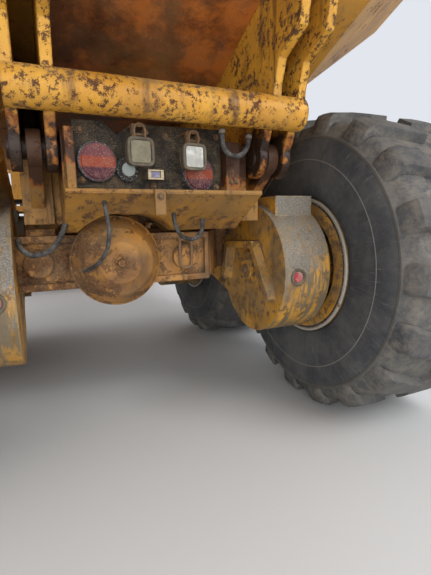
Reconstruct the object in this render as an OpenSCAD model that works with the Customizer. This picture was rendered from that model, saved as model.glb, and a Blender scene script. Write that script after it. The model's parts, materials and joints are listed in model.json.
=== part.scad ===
// Six-wheel articulated dump truck: a tractor with cab and hood, a steering and
// oscillating hitch, and a rear frame with two axles under a tipping dump body.
// X points to the truck's right, Y forward, Z up. The origin is on the ground
// below the middle of the truck.

/* [Truck] */
// Tail of the dump body behind the rear axle
rear_overhang = 1800; // [1700:10:1900]
// Rear axle to middle axle
bogie_pitch = 1940; // [1900:10:2000]
// Middle axle to front axle
middle_to_front = 4520; // [4450:10:4600]
// Front of the bumper ahead of the front axle
front_overhang = 3000; // [2950:10:3100]
// Middle of left wheels to middle of right wheels
track = 2640; // [2600:10:2700]

/* [Wheels] */
// Radius of a tyre at its lugs' tips
tyre_r = 885; // [870:5:890]
// Width of a tyre across its sidewalls
tyre_w = 752; // [740:2:760]
// Radius of the rim's flange
flange_r = 406; // [400:1:412]
// Radius of the rim's barrel under the tyre
barrel_r = 330; // [320:1:340]
// Radius of the planetary hub
hub_r = 235; // [210:5:260]

/* [Axles] */
// Height of an axle beam
beam_h = 240; // [200:5:250]
// Depth of an axle beam from front to rear
beam_d = 300; // [260:5:320]
// Inner face of each brake drum from the truck's middle
drum_x = 610; // [605:1:620]
// Outer end of each brake drum from the truck's middle
drum_end = 890; // [870:5:900]
// Radius of a brake drum
drum_r = 360; // [330:5:365]
// Radius of the differential's bowl
bowl_r = 200; // [180:5:210]
// Offset of the differential to the left
bowl_off = 190; // [150:5:200]

/* [Rear frame] */
// Inner face of each rail from the truck's middle
rail_in = 440; // [435:1:445]
// Width of a rail
rail_w = 120; // [110:1:125]
// Bottom of the rails
rail_z = 1162; // [1155:1:1170]
// Top of the rails
rail_top = 1505; // [1490:1:1510]
// Height of the underside plate at its front
tail_low = 1125; // [1120:1:1130]

/* [Dump body] */
// Height of the floor's underside
floor_z = 1862; // [1855:1:1870]
// Half width of the flat floor
floor_half = 880; // [860:5:900]
// Half width over the body's sides
body_half = 1560; // [1520:10:1580]
// Height at which the slanted sides turn upright
chine_z = 2330; // [2300:10:2360]
// Top of the body's sides
side_top = 3230; // [3180:10:3260]
// Thickness of the body's plates
plate_t = 16; // [14:1:20]
// Slope of the tail chute in degrees
chute_deg = 23; // [21:0.5:24]
// How far the dump body tips, in degrees
tip_deg = 70; // [60:1:70]

/* [Body hinge] */
// Tip pins behind the rear axle
pin_back = 350; // [345:1:355]
// Height of the tip pins
pin_z = 1442; // [1440:1:1445]
// Radius of a tip pin
pin_r = 42; // [38:1:45]
// Cross tube behind the rear axle
tube_back = 499; // [495:1:505]
// Height of the cross tube
tube_z = 1613; // [1608:1:1618]
// Radius of the cross tube
tube_r = 69; // [66:1:70]
// Thickness of a hinge plate
hinge_t = 38; // [34:1:38]

/* [Tractor] */
// Steering pivot ahead of the truck's middle
pivot_y = 1150; // [1140:5:1160]
// Half width of the cab
cab_half = 850; // [830:5:860]
// Rear wall of the cab behind the front axle
cab_behind = 670; // [650:5:680]
// Front wall of the cab at its foot ahead of the front axle
cab_ahead = 970; // [950:5:980]
// Top of the cab's roof
cab_top = 3720; // [3680:5:3740]
// Thickness of the cab's walls and door
wall_t = 50; // [45:1:55]
// Half width of the hood
hood_half = 800; // [780:5:810]
// Height of the step deck on the fenders
deck_z = 1900; // [1895:1:1910]
// Radius of the bore for the tow pin
tow_r = 26; // [20:1:30]

/* [Hidden] */
$fn = 48;

// Places of the axles and ends along the truck
length = rear_overhang + bogie_pitch + middle_to_front + front_overhang;
tail_y = -length / 2;
nose_y = length / 2;
rear_y = tail_y + rear_overhang;
middle_y = rear_y + bogie_pitch;
front_y = middle_y + middle_to_front;
axle_z = tyre_r;
beam_top = axle_z + 227;
beam_low = beam_top - beam_h;
trunnion_y = (rear_y + middle_y) / 2;
trunnion_z = axle_z + 55;
rail_out = rail_in + rail_w;
half_track = track / 2;
clear = 5;

// Places of the dump body
pin_y = rear_y - pin_back;
tube_y = rear_y - tube_back;
knee_y = rear_y + 50;
wall_low_y = rear_y + 3800;
wall_top_y = wall_low_y + 490;
guard_top = side_top + 180;
plate_in = 422;
plate_out = 542;
beam_end_y = wall_low_y - 200;
hoist_x = 770;
hoist_base = [middle_y + 890, 1160];
hoist_eye = [rear_y + 930, 1740];

// Places of the tractor
pivot_top = 1460;
pivot_low = 760;
bearing_z = 1120;
bearing_y = 400;
steer_base = [620, pivot_y + 900];
steer_eye = [420, pivot_y - 350];
steer_z = 1010;
cab_back = front_y - cab_behind;
cab_front = front_y + cab_ahead;
door_rear = front_y - 300;
door_front = front_y + 670;
step_y = front_y + tyre_r + 205;
door_low = 1960;
door_top = 3560;
hood_back = cab_front + 30;
hood_front = nose_y - 190;
hood_low = 1585;
hood_t = 16;
hood_axis = [hood_front - 20, 1545];

yellow = [0.82, 0.60, 0.24];
ochre = [0.67, 0.47, 0.17];
rust = [0.45, 0.29, 0.16];
black = [0.08, 0.08, 0.09];
rubber = [0.16, 0.17, 0.19];
steel = [0.62, 0.62, 0.60];
pane = [0.55, 0.66, 0.70, 0.6];
lens = [0.72, 0.12, 0.14];

// A profile drawn in Y and Z, drawn out along X from x over the thickness t
module yz(x, t) translate([x, 0, 0]) rotate([90, 0, 90]) linear_extrude(t) children();

// A profile drawn in X and Z, drawn out along Y from y over the thickness t
module xz(y, t) translate([0, y + t, 0]) rotate([90, 0, 0]) linear_extrude(t) children();

// A box from its low corner to its high corner
module span(low, high) translate(low) cube(high - low);

// A round bar along X, Y or between two points
module x_bar(x0, x1, y, z, r) translate([x0, y, z]) rotate([0, 90, 0]) cylinder(h = x1 - x0, r = r);
module y_bar(y0, y1, x, z, r) translate([x, y0, z]) rotate([-90, 0, 0]) cylinder(h = y1 - y0, r = r);
module strut(p, q, r) {
  d = q - p;
  translate(p) rotate([0, acos(d.z / norm(d)), atan2(d.y, d.x)]) cylinder(h = norm(d), r = r);
}

// The same piece on the right and on the left
module both() {
  children();
  mirror([1, 0, 0]) children();
}

// A hanging cord: a tube with eight sides through the points of its route
cord_sides = 8;
function along(route, i) = let (n = len(route) - 1)
  (route[min(i + 1, n)] - route[max(i - 1, 0)]) / norm(route[min(i + 1, n)] - route[max(i - 1, 0)]);
function ring(route, i, r) = let (t = along(route, i), s = cross(t, [0, 1, 0.2]) / norm(cross(t, [0, 1, 0.2])),
  u = cross(s, t)) [for (k = [0:cord_sides - 1]) route[i] + r * (s * cos(k * 360 / cord_sides)
  + u * sin(k * 360 / cord_sides))];
module cord(route, r) {
  n = len(route);
  m = cord_sides;
  polyhedron(
    points = [for (i = [0:n - 1]) each ring(route, i, r)],
    faces = concat([[for (k = [m - 1:-1:0]) k]], [[for (k = [0:m - 1]) (n - 1) * m + k]],
      [for (i = [0:n - 2], k = [0:m - 1])
        each [[i * m + k, (i + 1) * m + (k + 1) % m, (i + 1) * m + k],
          [i * m + k, i * m + (k + 1) % m, (i + 1) * m + (k + 1) % m]]]));
}

// Wheels

// Half sections of the casing and of the ring of lugs, as distance from the middle plane and radius
lug_count = 18;
lug_depth = 56;
casing_half = [[tyre_w / 2 - 50, barrel_r + 0.5], [tyre_w / 2 - 50, 404], [tyre_w / 2 - 14, 440],
  [tyre_w / 2, 600], [tyre_w / 2 - 22, 760], [tyre_w / 2 - 90, tyre_r - lug_depth]];
lug_half = [[tyre_w / 2 - 60, 745], [tyre_w / 2 - 20, 752], [tyre_w / 2 - 50, tyre_r - 30],
  [tyre_w / 2 - 110, tyre_r]];
function mirrored(half) = concat(half, [for (i = [len(half) - 1:-1:0]) [-half[i].x, half[i].y]]);
module turned(half) rotate_extrude($fn = 72) polygon([for (p = mirrored(half)) [p.y, p.x]]);

// One lug seen from outside, from the shoulder to just past the tread's middle
module lug_form() polygon([[-66, tyre_w / 2 + 10], [66, tyre_w / 2 + 10], [70, 240], [150, 20], [60, 12],
  [-70, 240]]);
module tyre(side, y) color(rubber) translate([side * half_track, y, axle_z]) rotate([0, 90, 0]) {
  turned(casing_half);
  intersection() {
    turned(lug_half);
    for (i = [0:lug_count - 1], s = [0, 1]) rotate([0, 0, (i + s / 2) * 360 / lug_count]) mirror([0, 0, s])
      translate([700, 0, 0]) rotate([90, 0, 90]) linear_extrude(200) lug_form();
  }
}

// A rim: barrel, two flanges, a disc and the planetary hub on its outer side
rim_half = tyre_w / 2 - 18;
module rim(side, y) color(ochre)
  translate([side * half_track, y, axle_z]) rotate([0, side * 90, 0]) rotate_extrude($fn = 96)
    polygon([[0, 80], [barrel_r - 30, 80], [barrel_r - 30, -rim_half], [flange_r, -rim_half],
      [flange_r, 22 - rim_half], [barrel_r, 30 - rim_half], [barrel_r, rim_half - 30],
      [flange_r, rim_half - 22], [flange_r, rim_half], [barrel_r - 30, rim_half],
      [barrel_r - 30, 110], [hub_r, 110], [hub_r, 270], [150, 290], [150, 330], [0, 330]]);

// Axles

// An axle beam with flange ledges, a differential bowl and the spindles
module axle(y, pad, sweep = 0) {
  x_in = drum_x;
  x_right = sweep == 0 ? x_in : 280;
  difference() {
    union() {
      span([-x_in, y - beam_d / 2 + 20, beam_low], [x_right, y + beam_d / 2 - 20, beam_top]);
      for (z = [beam_low, beam_top - 30]) span([-x_in, y - beam_d / 2, z], [x_right, y + beam_d / 2, z + 30]);
    }
    y_bar(y - 200, y + 200, -bowl_off, beam_low + 118, bowl_r - 20);
  }
  translate([-bowl_off, y, beam_low + 118]) rotate([90, 0, 0]) rotate_extrude()
    polygon([[0, -260], [90, -260], [bowl_r, -150], [bowl_r, 170], [150, 250], [90, 290], [0, 300]]);
  for (x = [-520, 150]) y_bar(y - beam_d / 2 - 12, y, x, beam_low + 120, 60);
  mirror([1, 0, 0]) span([rail_in, y - 90, beam_top], [rail_out, y + 90, pad]);
  if (sweep == 0) span([rail_in, y - 90, beam_top], [rail_out, y + 90, pad]);
  else translate([0, y, 0]) mirror([0, (1 - sweep) / 2, 0]) {
    translate([0, 0, beam_low]) linear_extrude(beam_h) polygon([[x_right - 20, -beam_d / 2],
      [x_right, -beam_d / 2], [430, 150], [540, 330], [x_in, 340], [x_in, 780], [x_right, beam_d / 2],
      [x_right - 20, beam_d / 2]]);
    span([rail_in, 345, beam_top - 10], [rail_out, 445, pad]);
  }
}

// A brake drum with its face boss, hood strip and top block, and the spindle to the wheel
module brake_end(y) {
  x_bar(drum_x, drum_end, y, axle_z, drum_r);
  x_bar(drum_end, half_track + 79.7, y, axle_z, 150);
  x_bar(drum_end, drum_end + 60, y, axle_z, 280);
  span([drum_x + 40, y - 200, axle_z + 300], [drum_end - 10, y, axle_z + 404]);
}

module rear_axle() color(rust) axle(rear_y, beam_top + 30, 1);
module middle_axle() color(rust) axle(middle_y, beam_top + 30, -1);
module front_axle() color(rust) {
  axle(front_y, rail_z);
  both() brake_end(front_y);
}

// The face boss and the bent strip that hoods it, on the face that stands free of the beam
module guard_face() {
  x_bar(drum_x - 22, drum_x + 1, 0, axle_z, 100);
  x_bar(drum_x - 36, drum_x - 20, 0, axle_z, 58);
  yz(drum_x - 55, 56) translate([0, axle_z]) polygon([[297, -68], [240, 155], [-100, 165], [-285, -130],
    [-250, -150], [-80, 125], [205, 118], [258, -85]]);
}
module brake_guards() color(ochre) {
  both() for (y = [rear_y, middle_y]) brake_end(y);
  translate([0, rear_y, 0]) guard_face();
  translate([0, middle_y, 0]) mirror([0, 1, 0]) guard_face();
}

// The walking beams that tie the two axles' drums and turn on the trunnions
module bogie_beams() color(ochre) both() difference() {
  yz(drum_x, 110) polygon([[rear_y + 60, axle_z + 220], [rear_y + 650, axle_z + 150],
    [trunnion_y, axle_z + 190], [middle_y - 650, axle_z + 150], [middle_y - 60, axle_z + 220],
    [middle_y - 60, axle_z - 250], [middle_y - 700, axle_z - 60], [rear_y + 700, axle_z - 60],
    [rear_y + 60, axle_z - 250]]);
  for (y = [rear_y, middle_y]) x_bar(drum_x - 1, drum_x + 120, y, axle_z, drum_r);
}

module rear_driveshafts() color(rust) {
  y_bar(rear_y + 260, middle_y - 300, -bowl_off, beam_low + 118, 55);
  strut([-bowl_off, middle_y + 290, beam_low + 118], [0, bearing_y - 40, bearing_z], 50);
  y_bar(bearing_y - 60, bearing_y - 20.3, 0, bearing_z, 70);
}

// Rear frame

// The tail box that carries the lamps, arched over the differential
panel_deg = 7;
ledge_z = tail_low + 165;
module on_panel(x) translate([0, rear_y - 370, 0]) rotate([0, 0, panel_deg]) translate([x, 0, 0]) children();
module tail_box() difference() {
  union() {
    yz(-410, 820) polygon([[rear_y, tail_low], [rear_y - 200, tail_low], [rear_y - 470, ledge_z - 15],
      [rear_y - 470, ledge_z], [rear_y - 440, ledge_z], [rear_y - 440, rail_top], [rear_y, rail_top]]);
    span([-rail_in, rear_y - 140, rail_z], [rail_in, rear_y, rail_top]);
  }
  on_panel(0) span([-600, -300, ledge_z], [600, 0, 2000]);
  y_bar(rear_y - 600, rear_y + 10, -100, 965, 235);
  y_bar(rear_y - 600, rear_y + 10, -bowl_off, beam_low + 118, bowl_r + 12);
}

module rear_frame() color(yellow) {
  difference() {
    union() {
      both() {
        span([rail_in, rear_y - 170, rail_z], [rail_out, bearing_y - 100, rail_top]);
        yz(475, 50) union() {
          polygon([[rear_y - 160, rail_z + 60], [rear_y - 160, rail_top], [pin_y, pin_z + 62],
            [pin_y - 62, pin_z], [pin_y - 20, pin_z - 62]]);
          translate([pin_y, pin_z]) circle(r = 70);
        }
        x_bar(rail_in, drum_x, trunnion_y, trunnion_z + 30, 95);
        yz(rail_in, rail_w) polygon([[trunnion_y - 260, rail_z], [trunnion_y + 260, rail_z],
          [trunnion_y + 120, trunnion_z - 50], [trunnion_y - 120, trunnion_z - 50]]);
        span([rail_in, hoist_base.x - 90, 1080], [hoist_x - 95, hoist_base.x + 90, 1240]);
        x_bar(hoist_x - 95, hoist_x + 60, hoist_base.x, hoist_base.y, 40);
      }
      tail_box();
      for (x = [[-408, -376], [272, 344]]) on_panel(0) span([x[0], -50, ledge_z - 5], [x[1], -2, rail_top]);
      span([-80, rear_y - 482, tail_low + 65], [-36, rear_y - 469, ledge_z]);
      for (y = [trunnion_y - 60, middle_y + 700, bearing_y - 500])
        span([-rail_in, y, rail_z + 20], [rail_in, y + 120, rail_top - 60]);
      span([-rail_out, bearing_y - 100, 830], [rail_out, bearing_y - 20, rail_top]);
      y_bar(bearing_y - 20, bearing_y + 140, 0, bearing_z, 300);
    }
    both() x_bar(460, 540, pin_y, pin_z, pin_r + 0.5);
    y_bar(bearing_y - 101, bearing_y + 141, 0, bearing_z, 205.5);
  }
}

// The panel's lamps as place along it, height and radius: left, right and the small round one
panel_lamps = [[-291, 1390, 72], [141, 1363, 72], [-172, 1369, 44]];
module tail_panel() color(black) on_panel(0) xz(-10, 10) polygon([[-372, ledge_z], [265, ledge_z], [268, 1560],
  [-150, 1545], [-205, 1500], [-260, 1545], [-372, 1540]]);

module rear_lamps() color(lens) for (l = panel_lamps) on_panel(l[0]) {
  y_bar(l[2] > 50 ? -36 : -26, -10, 0, l[1], l[2]);
  y_bar(l[2] > 50 ? -42 : -30, -10, 0, l[1], l[2] - 12);
}

// Work lamps with a sunk lens and a shackle above, and the small camera block between them
module work_lamp(x, z) on_panel(x) {
  difference() {
    xz(-95, 50) translate([0, z]) polygon([[-42, -55], [42, -55], [55, -40], [55, 40], [42, 55], [-42, 55],
      [-55, 40], [-55, -40]]);
    span([-40, -96, z - 42], [40, -87, z + 42]);
  }
  for (side = [-1, 1]) span([side * 24 - 5, -80, z + 50], [side * 24 + 5, -55, z + 100]);
  span([-29, -80, z + 92], [29, -10, z + 104]);
}
module work_lamps() color(black) {
  work_lamp(-138, 1429);
  work_lamp(94, 1424);
  on_panel(-66) difference() {
    span([-34, -52, 1331], [34, -10, 1370]);
    span([-22, -53, 1338], [22, -46, 1363]);
  }
}

flap_y = middle_y + tyre_r + 40;
module rear_mudflaps() color(black) both()
{
  span([half_track - 330, flap_y, 900], [half_track + 330, flap_y + 20, rail_top - 60]);
  span([rail_out, flap_y + 20, rail_top - 100], [half_track + 330, flap_y + 60, rail_top - 60]);
}

// Routes of the hanging cable and hoses behind the rear axle
cable_route = [[-270, rear_y - 410, 1275], [-262, rear_y - 425, 1200], [-255, rear_y - 420, 1130],
  [-262, rear_y - 390, 1060], [-290, rear_y - 330, 1000], [-330, rear_y - 260, 965],
  [-345, rear_y - 230, 960]];
left_route = [[-590, rear_y - 150.3, 1096], [-590, rear_y - 190, 1096], [-580, rear_y - 235, 1065],
  [-540, rear_y - 270, 1040],
  [-480, rear_y - 270, 1050], [-440, rear_y - 260, 1090], [-400, rear_y - 260, 1170]];
right_route = [[40, rear_y - 330, 1230], [45, rear_y - 340, 1150], [80, rear_y - 335, 1095],
  [140, rear_y - 320, 1085], [185, rear_y - 300, 1120], [200, rear_y - 280, 1185]];
module cable_drop() color(black) cord(cable_route, 9);
module hose_left() color(black) cord(left_route, 12);
module hose_right() color(black) cord(right_route, 10);

// Dump body

// The body's section above its floor, with slanted sides below the chine
module body_section(inset) {
  chine = chine_z - floor_z + inset * 0.6;
  polygon([[floor_half - inset, inset], [body_half - inset, chine], [body_half - inset, 3000],
    [inset - body_half, 3000], [inset - body_half, chine], [inset - floor_half, inset]]);
}

// The chute's section above its own floor, a little wider, with its slants running on outwards
chute_half = floor_half + 40;
chute_slant = (body_half - floor_half) / (chine_z - floor_z);
module chute_section(inset) {
  reach = 9000;
  polygon([[chute_half - inset, inset], [chute_half + chute_slant * reach, inset + reach],
    [-chute_half - chute_slant * reach, inset + reach], [inset - chute_half, inset]]);
}
module body_form(inset) intersection() {
  translate([0, 0, floor_z]) xz(tail_y - 500, 9000) body_section(inset);
  translate([0, knee_y, floor_z]) rotate([-chute_deg, 0, 0]) xz(-4000, 12000) chute_section(inset);
}
function front_wall(z) = wall_low_y + (z - floor_z) * (wall_top_y - wall_low_y) / (guard_top - floor_z);
module body_side() yz(-2000, 4000) polygon([[tail_y, 0], [front_wall(0), 0], [wall_top_y, guard_top],
  [wall_top_y - 350, guard_top], [wall_top_y - 560, side_top], [rear_y - 700, side_top],
  [tail_y, side_top - 330]]);

module dump_body() color(yellow) {
  difference() {
    intersection() {
      body_form(0);
      body_side();
    }
    intersection() {
      body_form(plate_t);
      yz(-2000, 4000) polygon([[tail_y - 10, 0], [front_wall(0) - 20, 0], [front_wall(6000) - 20, 6000],
        [tail_y - 10, 6000]]);
    }
  }
  both() span([body_half - plate_t / 2, rear_y - 650, side_top - 150],
    [body_half + 60, wall_top_y - 500, side_top + 20]);
  for (i = [0:3]) {
    both() span([body_half - plate_t / 2, rear_y + 200 + i * 950, chine_z + 30],
      [body_half + 50, rear_y + 290 + i * 950, side_top - 140]);
    span([8 - plate_in, rear_y + 500 + i * 850, floor_z - 60],
      [plate_in - 8, rear_y + 580 + i * 850, floor_z + 8]);
  }
}

// Hinge plates, body beams, cross tube and tip pins under the dump body
module hinge_plate(x) yz(x, hinge_t) union() {
  polygon([[beam_end_y, rail_top + clear], [beam_end_y, floor_z], [knee_y, floor_z],
    [rear_y - 800, floor_z + 850 * tan(chute_deg)], [rear_y - 716, 1865], [rear_y - 580, 1802],
    [rear_y - 545, 1702], [rear_y - 533, 1584], [rear_y - 470, 1548], [pin_y - 80, pin_z + 20],
    [pin_y + 85, pin_z], [rear_y - 170, rail_top + clear]]);
  translate([pin_y, pin_z]) circle(r = 86);
}
module body_hinge() color(yellow) both() {
  for (x = [plate_in, plate_out]) hinge_plate(x);
  span([plate_in, rear_y + 200, rail_top + clear], [plate_out + hinge_t, beam_end_y, rail_top + 25]);
  x_bar(0, plate_out + hinge_t, tube_y, tube_z, tube_r);
  x_bar(plate_in - 8, plate_out + hinge_t + 12, pin_y, pin_z, pin_r);
  span([plate_out, hoist_eye.x - 130, floor_z - 20], [hoist_x + 80, hoist_eye.x + 130, floor_z]);
  for (side = [-1, 1]) yz(hoist_x + side * 65 - 12, 24) polygon([[hoist_eye.x - 120, floor_z - 10],
    [hoist_eye.x + 120, floor_z - 10], [hoist_eye.x + 50, hoist_eye.y - 60], [hoist_eye.x - 50, hoist_eye.y - 60]]);
}

// Hoist cylinders: each barrel turns on the frame, each rod's eye meets the body's pin
hoist_dir = hoist_eye - hoist_base;
hoist_len = norm(hoist_dir);
hoist_deg = atan2(hoist_dir.y, hoist_dir.x);
hoist_stroke = 1427;
module on_hoist() translate([hoist_x, hoist_base.x, hoist_base.y]) rotate([hoist_deg, 0, 0]) children();
module hoist_barrels() color(yellow) both() on_hoist() difference() {
  union() {
    x_bar(-45, 45, 0, 0, 78);
    y_bar(60, hoist_stroke + 270, 0, 0, 88);
  }
  x_bar(-60, 60, 0, 0, 40.5);
  y_bar(120, hoist_stroke + 271, 0, 0, 56);
}
module hoist_rods() color(steel) both() on_hoist() {
  y_bar(150, hoist_len - 60, 0, 0, 48);
  y_bar(150, 210, 0, 0, 55.5);
  x_bar(-45, 45, hoist_len, 0, 72);
  x_bar(-50, 50, hoist_len, 0, 40);
}

// Hitch

module hitch() color(yellow) difference() {
  union() {
    y_bar(bearing_y - 20, bearing_y + 145, 0, bearing_z, 205);
    y_bar(bearing_y + 145, bearing_y + 200, 0, bearing_z, 300);
    span([-240, bearing_y + 200, pivot_low + 5], [240, pivot_y - 200, pivot_top - 85]);
    for (z = [pivot_low + 5, pivot_top - 85]) span([-150, pivot_y - 220, z], [150, pivot_y, z + 80]);
    for (z = [pivot_low + 5, pivot_top - 85]) translate([0, pivot_y, z]) cylinder(h = 80, r = 150);
    both() for (z = [steer_z - 95, steer_z + 55])
      span([200, steer_eye.y - 70, z], [steer_eye.x + 70, steer_eye.y + 70, z + 40]);
  }
  translate([0, pivot_y, pivot_low]) cylinder(h = 90, r = 60.5);
  translate([0, pivot_y, pivot_top - 90]) cylinder(h = 90, r = 60.5);
}

// Tractor

module front_frame() color(yellow) {
  both() {
    span([rail_in - 60, pivot_y + 410, rail_z], [rail_in + 60, hood_front, rail_top - 5]);
    yz(420, 40) union() {
      translate(hood_axis) circle(r = 35);
      polygon([[hood_axis.x - 35, rail_top - 10], [hood_axis.x + 20, rail_top - 10],
        [hood_axis.x + 20, hood_axis.y], [hood_axis.x - 35, hood_axis.y]]);
    }
    x_bar(420, 500, hood_axis.x, hood_axis.y, 20);
  }
  span([-rail_out, pivot_y + 350, rail_z], [rail_out, pivot_y + 410, pivot_top + 80]);
  span([-330, pivot_y + 350, pivot_low - 80], [330, pivot_y + 410, rail_z]);
  for (z = [pivot_low - 80, pivot_top]) {
    span([-160, pivot_y, z], [160, pivot_y + 350, z + 80]);
    translate([0, pivot_y, z]) cylinder(h = 80, r = 160);
  }
  translate([0, pivot_y, pivot_low - 80]) cylinder(h = 165, r = 60);
  translate([0, pivot_y, pivot_top - 85]) cylinder(h = 165, r = 60);
  for (y = [front_y + 600, nose_y - 400]) span([60 - rail_in, y, rail_z], [rail_in - 60, y + 120, rail_z + 120]);
  both() {
    for (z = [steer_z - 95, steer_z + 51])
      span([rail_in + 50, steer_base.y - 60, z], [steer_base.x + 60, steer_base.y + 80, z + 44]);
    span([rail_in - 60, steer_base.y - 60, steer_z - 95], [rail_in + 60, steer_base.y + 80, rail_z]);
    translate([steer_base.x, steer_base.y, steer_z - 90]) cylinder(h = 180, r = 32);
    for (y = [cab_back + 150, cab_front - 200]) translate([rail_in, y, rail_top - 5]) cylinder(h = 100, r = 55);
    span([rail_in + 60, nose_y - 700, rail_z + 20], [880, nose_y - 600, rail_z + 140]);
    span([rail_in + 60, nose_y - 1300, rail_z + 20], [880, nose_y - 1200, rail_z + 140]);
  }
}

module engine_block() color(black)
  span([60 - rail_in, hood_back + 120, 1000], [rail_in - 60, hood_front - 420, 2080]);

module radiator() color(black) span([-600, hood_front - 330, rail_top - 5], [600, hood_front - 180, 2150]);

grille_low = hood_low + 60;
grille_top = 2200;
module hood() color(yellow) {
  hood_shell();
  both() difference() {
    yz(465, 30) union() {
      polygon([[hood_front - 30, hood_low + 40], [hood_front, hood_low + 40], [hood_front, hood_axis.y],
        [hood_axis.x - 30, hood_axis.y]]);
      translate(hood_axis) circle(r = 35);
    }
    x_bar(460, 500, hood_axis.x, hood_axis.y, 20.5);
  }
}
module hood_shell() difference() {
  yz(-hood_half, 2 * hood_half) polygon([[hood_back, hood_low], [hood_back, 2600], [hood_back + 700, 2600],
    [hood_front, 2330], [hood_front, hood_low]]);
  yz(hood_t - hood_half, 2 * (hood_half - hood_t)) polygon([[hood_back - 10, 1300],
    [hood_back - 10, 2600 - hood_t], [hood_back + 695, 2600 - hood_t],
    [hood_front - hood_t, 2330 - hood_t], [hood_front - hood_t, 1300]]);
  span([-640, hood_front - 60, grille_low], [640, hood_front + 10, grille_top]);
  both() for (i = [0:8]) span([hood_half - hood_t / 2, hood_back + 260 + i * 90, 1900],
    [hood_half + 1, hood_back + 300 + i * 90, 2200]);
}

module grille() color(black) {
  difference() {
    span([-640, hood_front - 40, grille_low], [640, hood_front, grille_top]);
    span([-600, hood_front - 50, grille_low + 40], [600, hood_front + 10, grille_top - 40]);
  }
  for (z = [grille_low + 60:60:grille_top - 70]) span([-600, hood_front - 35, z], [600, hood_front - 5, z + 28]);
}

module bumper() color(black) difference() {
  translate([0, nose_y, 720]) linear_extrude(rail_z - 720) polygon([[-1250, -280], [1250, -280], [1250, -90],
    [1130, 0], [-1130, 0], [-1250, -90]]);
  span([-110, nose_y - 130, 890], [110, nose_y + 1, 990]);
  translate([0, nose_y - 60, 700]) cylinder(h = 500, r = tow_r);
}

module headlamps() color(steel) both()
{
  span([880, nose_y - 270, rail_z], [1180, nose_y - 100, rail_z + 150]);
  for (x = [955, 1105]) y_bar(nose_y - 101, nose_y - 80, x, rail_z + 75, 60);
}

// Cab

// Windows as side, low corner and high corner in the wall's own plane
module cab_form(inset) yz(inset - cab_half, 2 * (cab_half - inset)) polygon([
  [cab_back + inset, 1600 + inset], [cab_back + inset, cab_top - inset],
  [cab_front - 250 - inset, cab_top - inset], [cab_front - inset, 2650], [cab_front - inset, 1600 + inset]]);
module side_windows(x, t, grow) yz(x, t) for (w = [[cab_back + 90, door_rear - 50, 3500],
  [door_front + 60, cab_front - 80, 2800]])
  polygon([[w[0] + grow, 2500 + grow], [w[1] - grow, 2500 + grow], [w[1] - grow, w[2]],
    [w[0] + grow, 3500 - grow]]);
module front_window(y, t) xz(y, t) polygon([[-700, 2720], [700, 2720], [700, 3560], [-700, 3560]]);
module rear_window(y, t) xz(y, t) polygon([[-650, 2500], [650, 2500], [650, 3450], [-650, 3450]]);
module right_window(x, t) yz(x, t) polygon([[door_rear + 40, 2500], [door_front - 40, 2500],
  [door_front - 40, 3500], [door_rear + 40, 3500]]);

door_axis = [-cab_half - 26, door_rear - 10];
module hinge_post(z) {
  translate([door_axis.x, door_axis.y, z]) cylinder(h = 30, r = 24);
  span([door_axis.x, door_axis.y - 24, z], [-cab_half, door_axis.y, z + 30]);
}
module cab_shell() color(yellow) {
  cab_walls();
  yz(70 - cab_half, 2 * cab_half - 140) polygon([[cab_front - 262, cab_top - 45],
    [cab_front - 90, cab_top - 95],
    [cab_front - 90, cab_top - 75], [cab_front - 262, cab_top - 12]]);
  for (z = [2120, 3300]) {
    hinge_post(z - 32);
    hinge_post(z + 62);
    translate([door_axis.x, door_axis.y, z - 10]) cylinder(h = 80, r = 12);
  }
}
module cab_walls() difference() {
  cab_form(0);
  cab_form(wall_t);
  side_windows(-cab_half - 1, 2 * cab_half + 2, 0);
  right_window(cab_half - wall_t - 1, wall_t + 2);
  front_window(cab_front - 400, 500);
  rear_window(cab_back - 1, wall_t + 2);
  span([-cab_half - 1, door_rear, door_low], [1 - cab_half + wall_t, door_front, door_top]);
}

module cab_glass() color(pane) {
  side_windows(20 - cab_half, 8, 0);
  side_windows(cab_half - 28, 8, 0);
  right_window(cab_half - 28, 8);
  rear_window(cab_back + 20, 8);
  intersection() {
    front_window(cab_front - 400, 400);
    yz(-700, 1400) polygon([[cab_front - 250 - 30, cab_top], [cab_front - 30, 2650], [cab_front - 20, 2650],
      [cab_front - 240 - 30, cab_top]]);
  }
}

module cab_door() color(yellow) difference() {
  union() {
    span([-cab_half, door_rear + 6, door_low + 6], [wall_t - cab_half, door_front - 6, door_top - 6]);
    for (z = [2120, 3300]) {
      translate([door_axis.x, door_axis.y, z]) cylinder(h = 60, r = 24);
      span([door_axis.x, door_axis.y + 4, z], [-cab_half, door_rear + 90, z + 60]);
    }
  }
  span([-cab_half - 1, door_rear + 90, 2450], [wall_t - cab_half + 1, door_front - 90, 3470]);
  for (z = [2120, 3300]) translate([door_axis.x, door_axis.y, z - 1]) cylinder(h = 62, r = 12.5);
}
module door_glass() color(pane)
  span([20 - cab_half, door_rear + 90, 2450], [28 - cab_half, door_front - 90, 3470]);

module seat() color(black) {
  span([-180, front_y - 180, 1650], [180, front_y + 170, 2050]);
  span([-270, front_y - 230, 2050], [270, front_y + 290, 2190]);
  yz(-260, 520) polygon([[front_y - 230, 2190], [front_y - 110, 2190], [front_y - 180, 2850],
    [front_y - 300, 2850]]);
}

module steering_column() color(black) {
  span([-70, cab_front - 220, 1600 + wall_t], [70, cab_front - 80, 1730]);
  strut([0, cab_front - 160, 1700], [0, cab_front - 440, 2480], 45);
  translate([0, cab_front - 440, 2480]) rotate([20, 0, 0]) rotate_extrude() translate([200, 0]) circle(r = 16);
  translate([0, cab_front - 440, 2480]) rotate([20, 0, 0]) span([-200, -15, -8], [200, 15, 8]);
}

// Fenders, steps, rails and mirrors

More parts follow.
